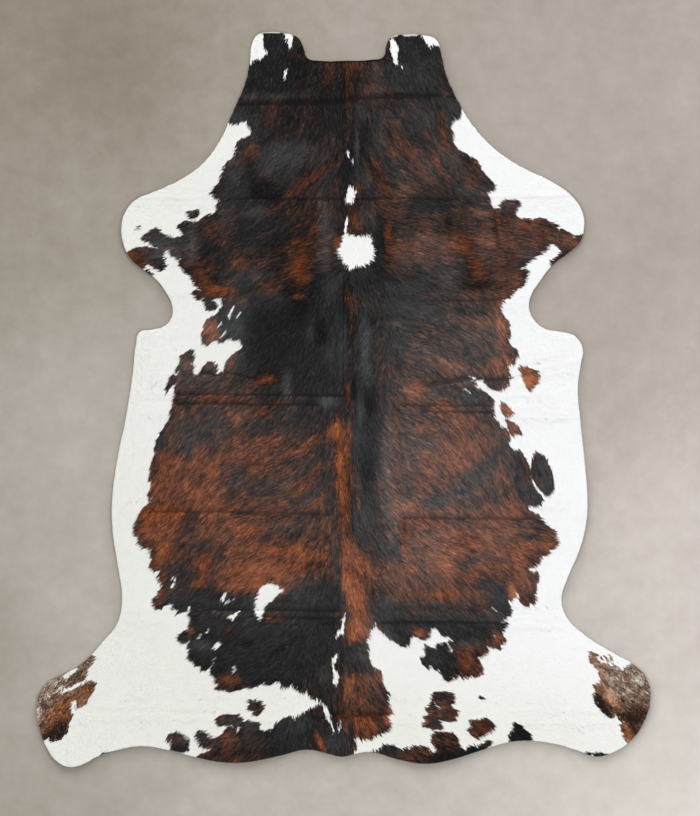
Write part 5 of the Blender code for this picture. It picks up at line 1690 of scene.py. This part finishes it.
HAIR_STRETCH = (3.2, 0.9, 7.0)           # across the lock, along it, and from lock to lock
hairs, given, result = new_group(
    "single hairs",
    {"Hair": "Vector", "Colour": "Color", "Contrast": "Float"},
    {"Colour": "Color", "Height": "Float"},
)
stretched = add_node(
    hairs, "ShaderNodeVectorMath", {0: given["Hair"], 1: HAIR_STRETCH}, operation="MULTIPLY"
)
fibre = noise_node(hairs, stretched.outputs[0], 1.6, 2.0, 0.6)
swing = math_node(hairs, "SUBTRACT", fibre, 0.5)
share = math_node(hairs, "MULTIPLY_ADD", swing, given["Contrast"], 1.0)
feed(hairs, result, {"Colour": dimmed(hairs, given["Colour"], share), "Height": fibre})
print("group", hairs.name)

# %% Group: leather grain
grain, given, result = new_group(
    "leather grain",
    {"Light": "Color", "Dark": "Color", "Cloud Scale": "Float", "Fibre Scale": "Float"},
    {"Colour": "Color", "Height": "Float", "Roughness": "Float"},
)
place = add_node(grain, "ShaderNodeTexCoord").outputs["Object"]
cloud = noise_node(grain, place, given["Cloud Scale"], 6.0, 0.6)
nap = noise_node(grain, place, given["Fibre Scale"], 3.0, 0.7)
share = moved_span(grain, math_node(grain, "ADD", cloud, nap), (0.7, 1.3))
blend = add_node(
    grain, "ShaderNodeMix", {"Factor": share, 6: given["Dark"], 7: given["Light"]}, data_type="RGBA"
)
rough = moved_span(grain, nap, new=(0.8, 0.98))
feed(grain, result, {"Colour": blend.outputs[2], "Height": nap, "Roughness": rough})
print("group", grain.name)

# %% Material of the coat
def bump_node(tree, strength, distance, height):
    """Slopes that a height gives to the surface."""
    sockets = {"Strength": strength, "Distance": distance, "Height": height}
    return add_node(tree, "ShaderNodeBump", sockets).outputs[0]


def coat_material(name, contrast, **sockets):
    """Hair of the attribute's colour, with single hairs drawn in it."""
    material, tree, shader = new_material(name, **sockets)
    strands = add_node(
        tree, "ShaderNodeGroup",
        {
            "Hair": attribute(tree, "hair").outputs["Vector"],
            "Colour": attribute(tree, "coat_colour").outputs["Color"],
            "Contrast": contrast,
        },
        node_tree=hairs,
    ).outputs
    gloss = moved_span(tree, strands["Height"], new=(0.45, 0.62))
    bump = bump_node(tree, 0.2, 0.0005, strands["Height"])
    feed(tree, shader, {"Base Color": strands["Colour"], "Roughness": gloss, "Normal": bump})
    return material


combed_hair = coat_material("combed hair", 0.35, Specular_IOR_Level=0.08, Sheen_Weight=0.02)
for band in coat:
    band.data.materials.append(combed_hair)
print(combed_hair.name, "on", len(coat), "pieces")

# %% Materials of the leather
def leather_material(name, light, dark, cloud_scale, fibre_scale, bump_strength):
    """Raw leather with its grain."""
    material, tree, shader = new_material(name, Specular_IOR_Level=0.25, Sheen_Weight=0.2)
    raw = add_node(
        tree, "ShaderNodeGroup",
        {
            "Light": (*linear(light), 1), "Dark": (*linear(dark), 1),
            "Cloud Scale": cloud_scale, "Fibre Scale": fibre_scale,
        },
        node_tree=grain,
    ).outputs
    bump = bump_node(tree, bump_strength, 0.0008, raw["Height"])
    feed(
        tree, shader, {"Base Color": raw["Colour"], "Roughness": raw["Roughness"], "Normal": bump}
    )
    return material


under_coat, tree, shader = new_material(
    "skin under the hair", Roughness=0.8, Specular_IOR_Level=0.1
)
place = add_node(tree, "ShaderNodeTexCoord").outputs["Object"]
pored = moved_span(tree, noise_node(tree, place, 300.0, 2.0), new=(0.88, 1.0))
colour = attribute(tree, "coat_colour").outputs["Color"]
feed(tree, shader, {"Base Color": dimmed(tree, colour, pored)})
cut_edge = leather_material("cut edge", "#e6dccb", "#c2b199", 30.0, 900.0, 0.3)
flesh_side = leather_material("suede flesh side", "#ddd0bb", "#bda98d", 3.5, 500.0, 0.5)
for finish in (under_coat, cut_edge, flesh_side):
    leather.data.materials.append(finish)
print("leather materials:", [m.name for m in leather.data.materials])

# %% Which face gets which material, and the colour of the skin
UP, EDGE, DOWN = 0, 1, 2
for face in leather.data.polygons:
    face.material_index = UP if face.normal.z > 0.5 else DOWN if face.normal.z < -0.5 else EDGE
DARK_SKIN, WHITE_SKIN = 0.55, 0.97       # the skin's colour, as a share of its hair's
skin_spots = spots_of(corners[:, :2])
dark, shank = kind_of_coat(skin_spots)
skin = coat_colours(skin_spots, np.zeros(len(corners)), dark, shank)
skin *= np.where(dark | shank, DARK_SKIN, WHITE_SKIN)[:, None]
tone = leather.data.attributes.new("coat_colour", "FLOAT_COLOR", "POINT")
tone.data.foreach_set("color", np.column_stack([skin, np.ones(len(corners))]).ravel())
print("mean colour of the skin", skin.mean(0).round(3).tolist())

# %% [markdown]
# ## Attaching the pieces
# The leather stands for the imported hide, and the coat goes with it. It is a sheet that was
# laid down flat: 2.0 by 2.4 m, with 3.23 square metres inside its outline.

# %% Ride and replace
for piece in (leather, *coat):
    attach(piece, "root")
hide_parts("hide")
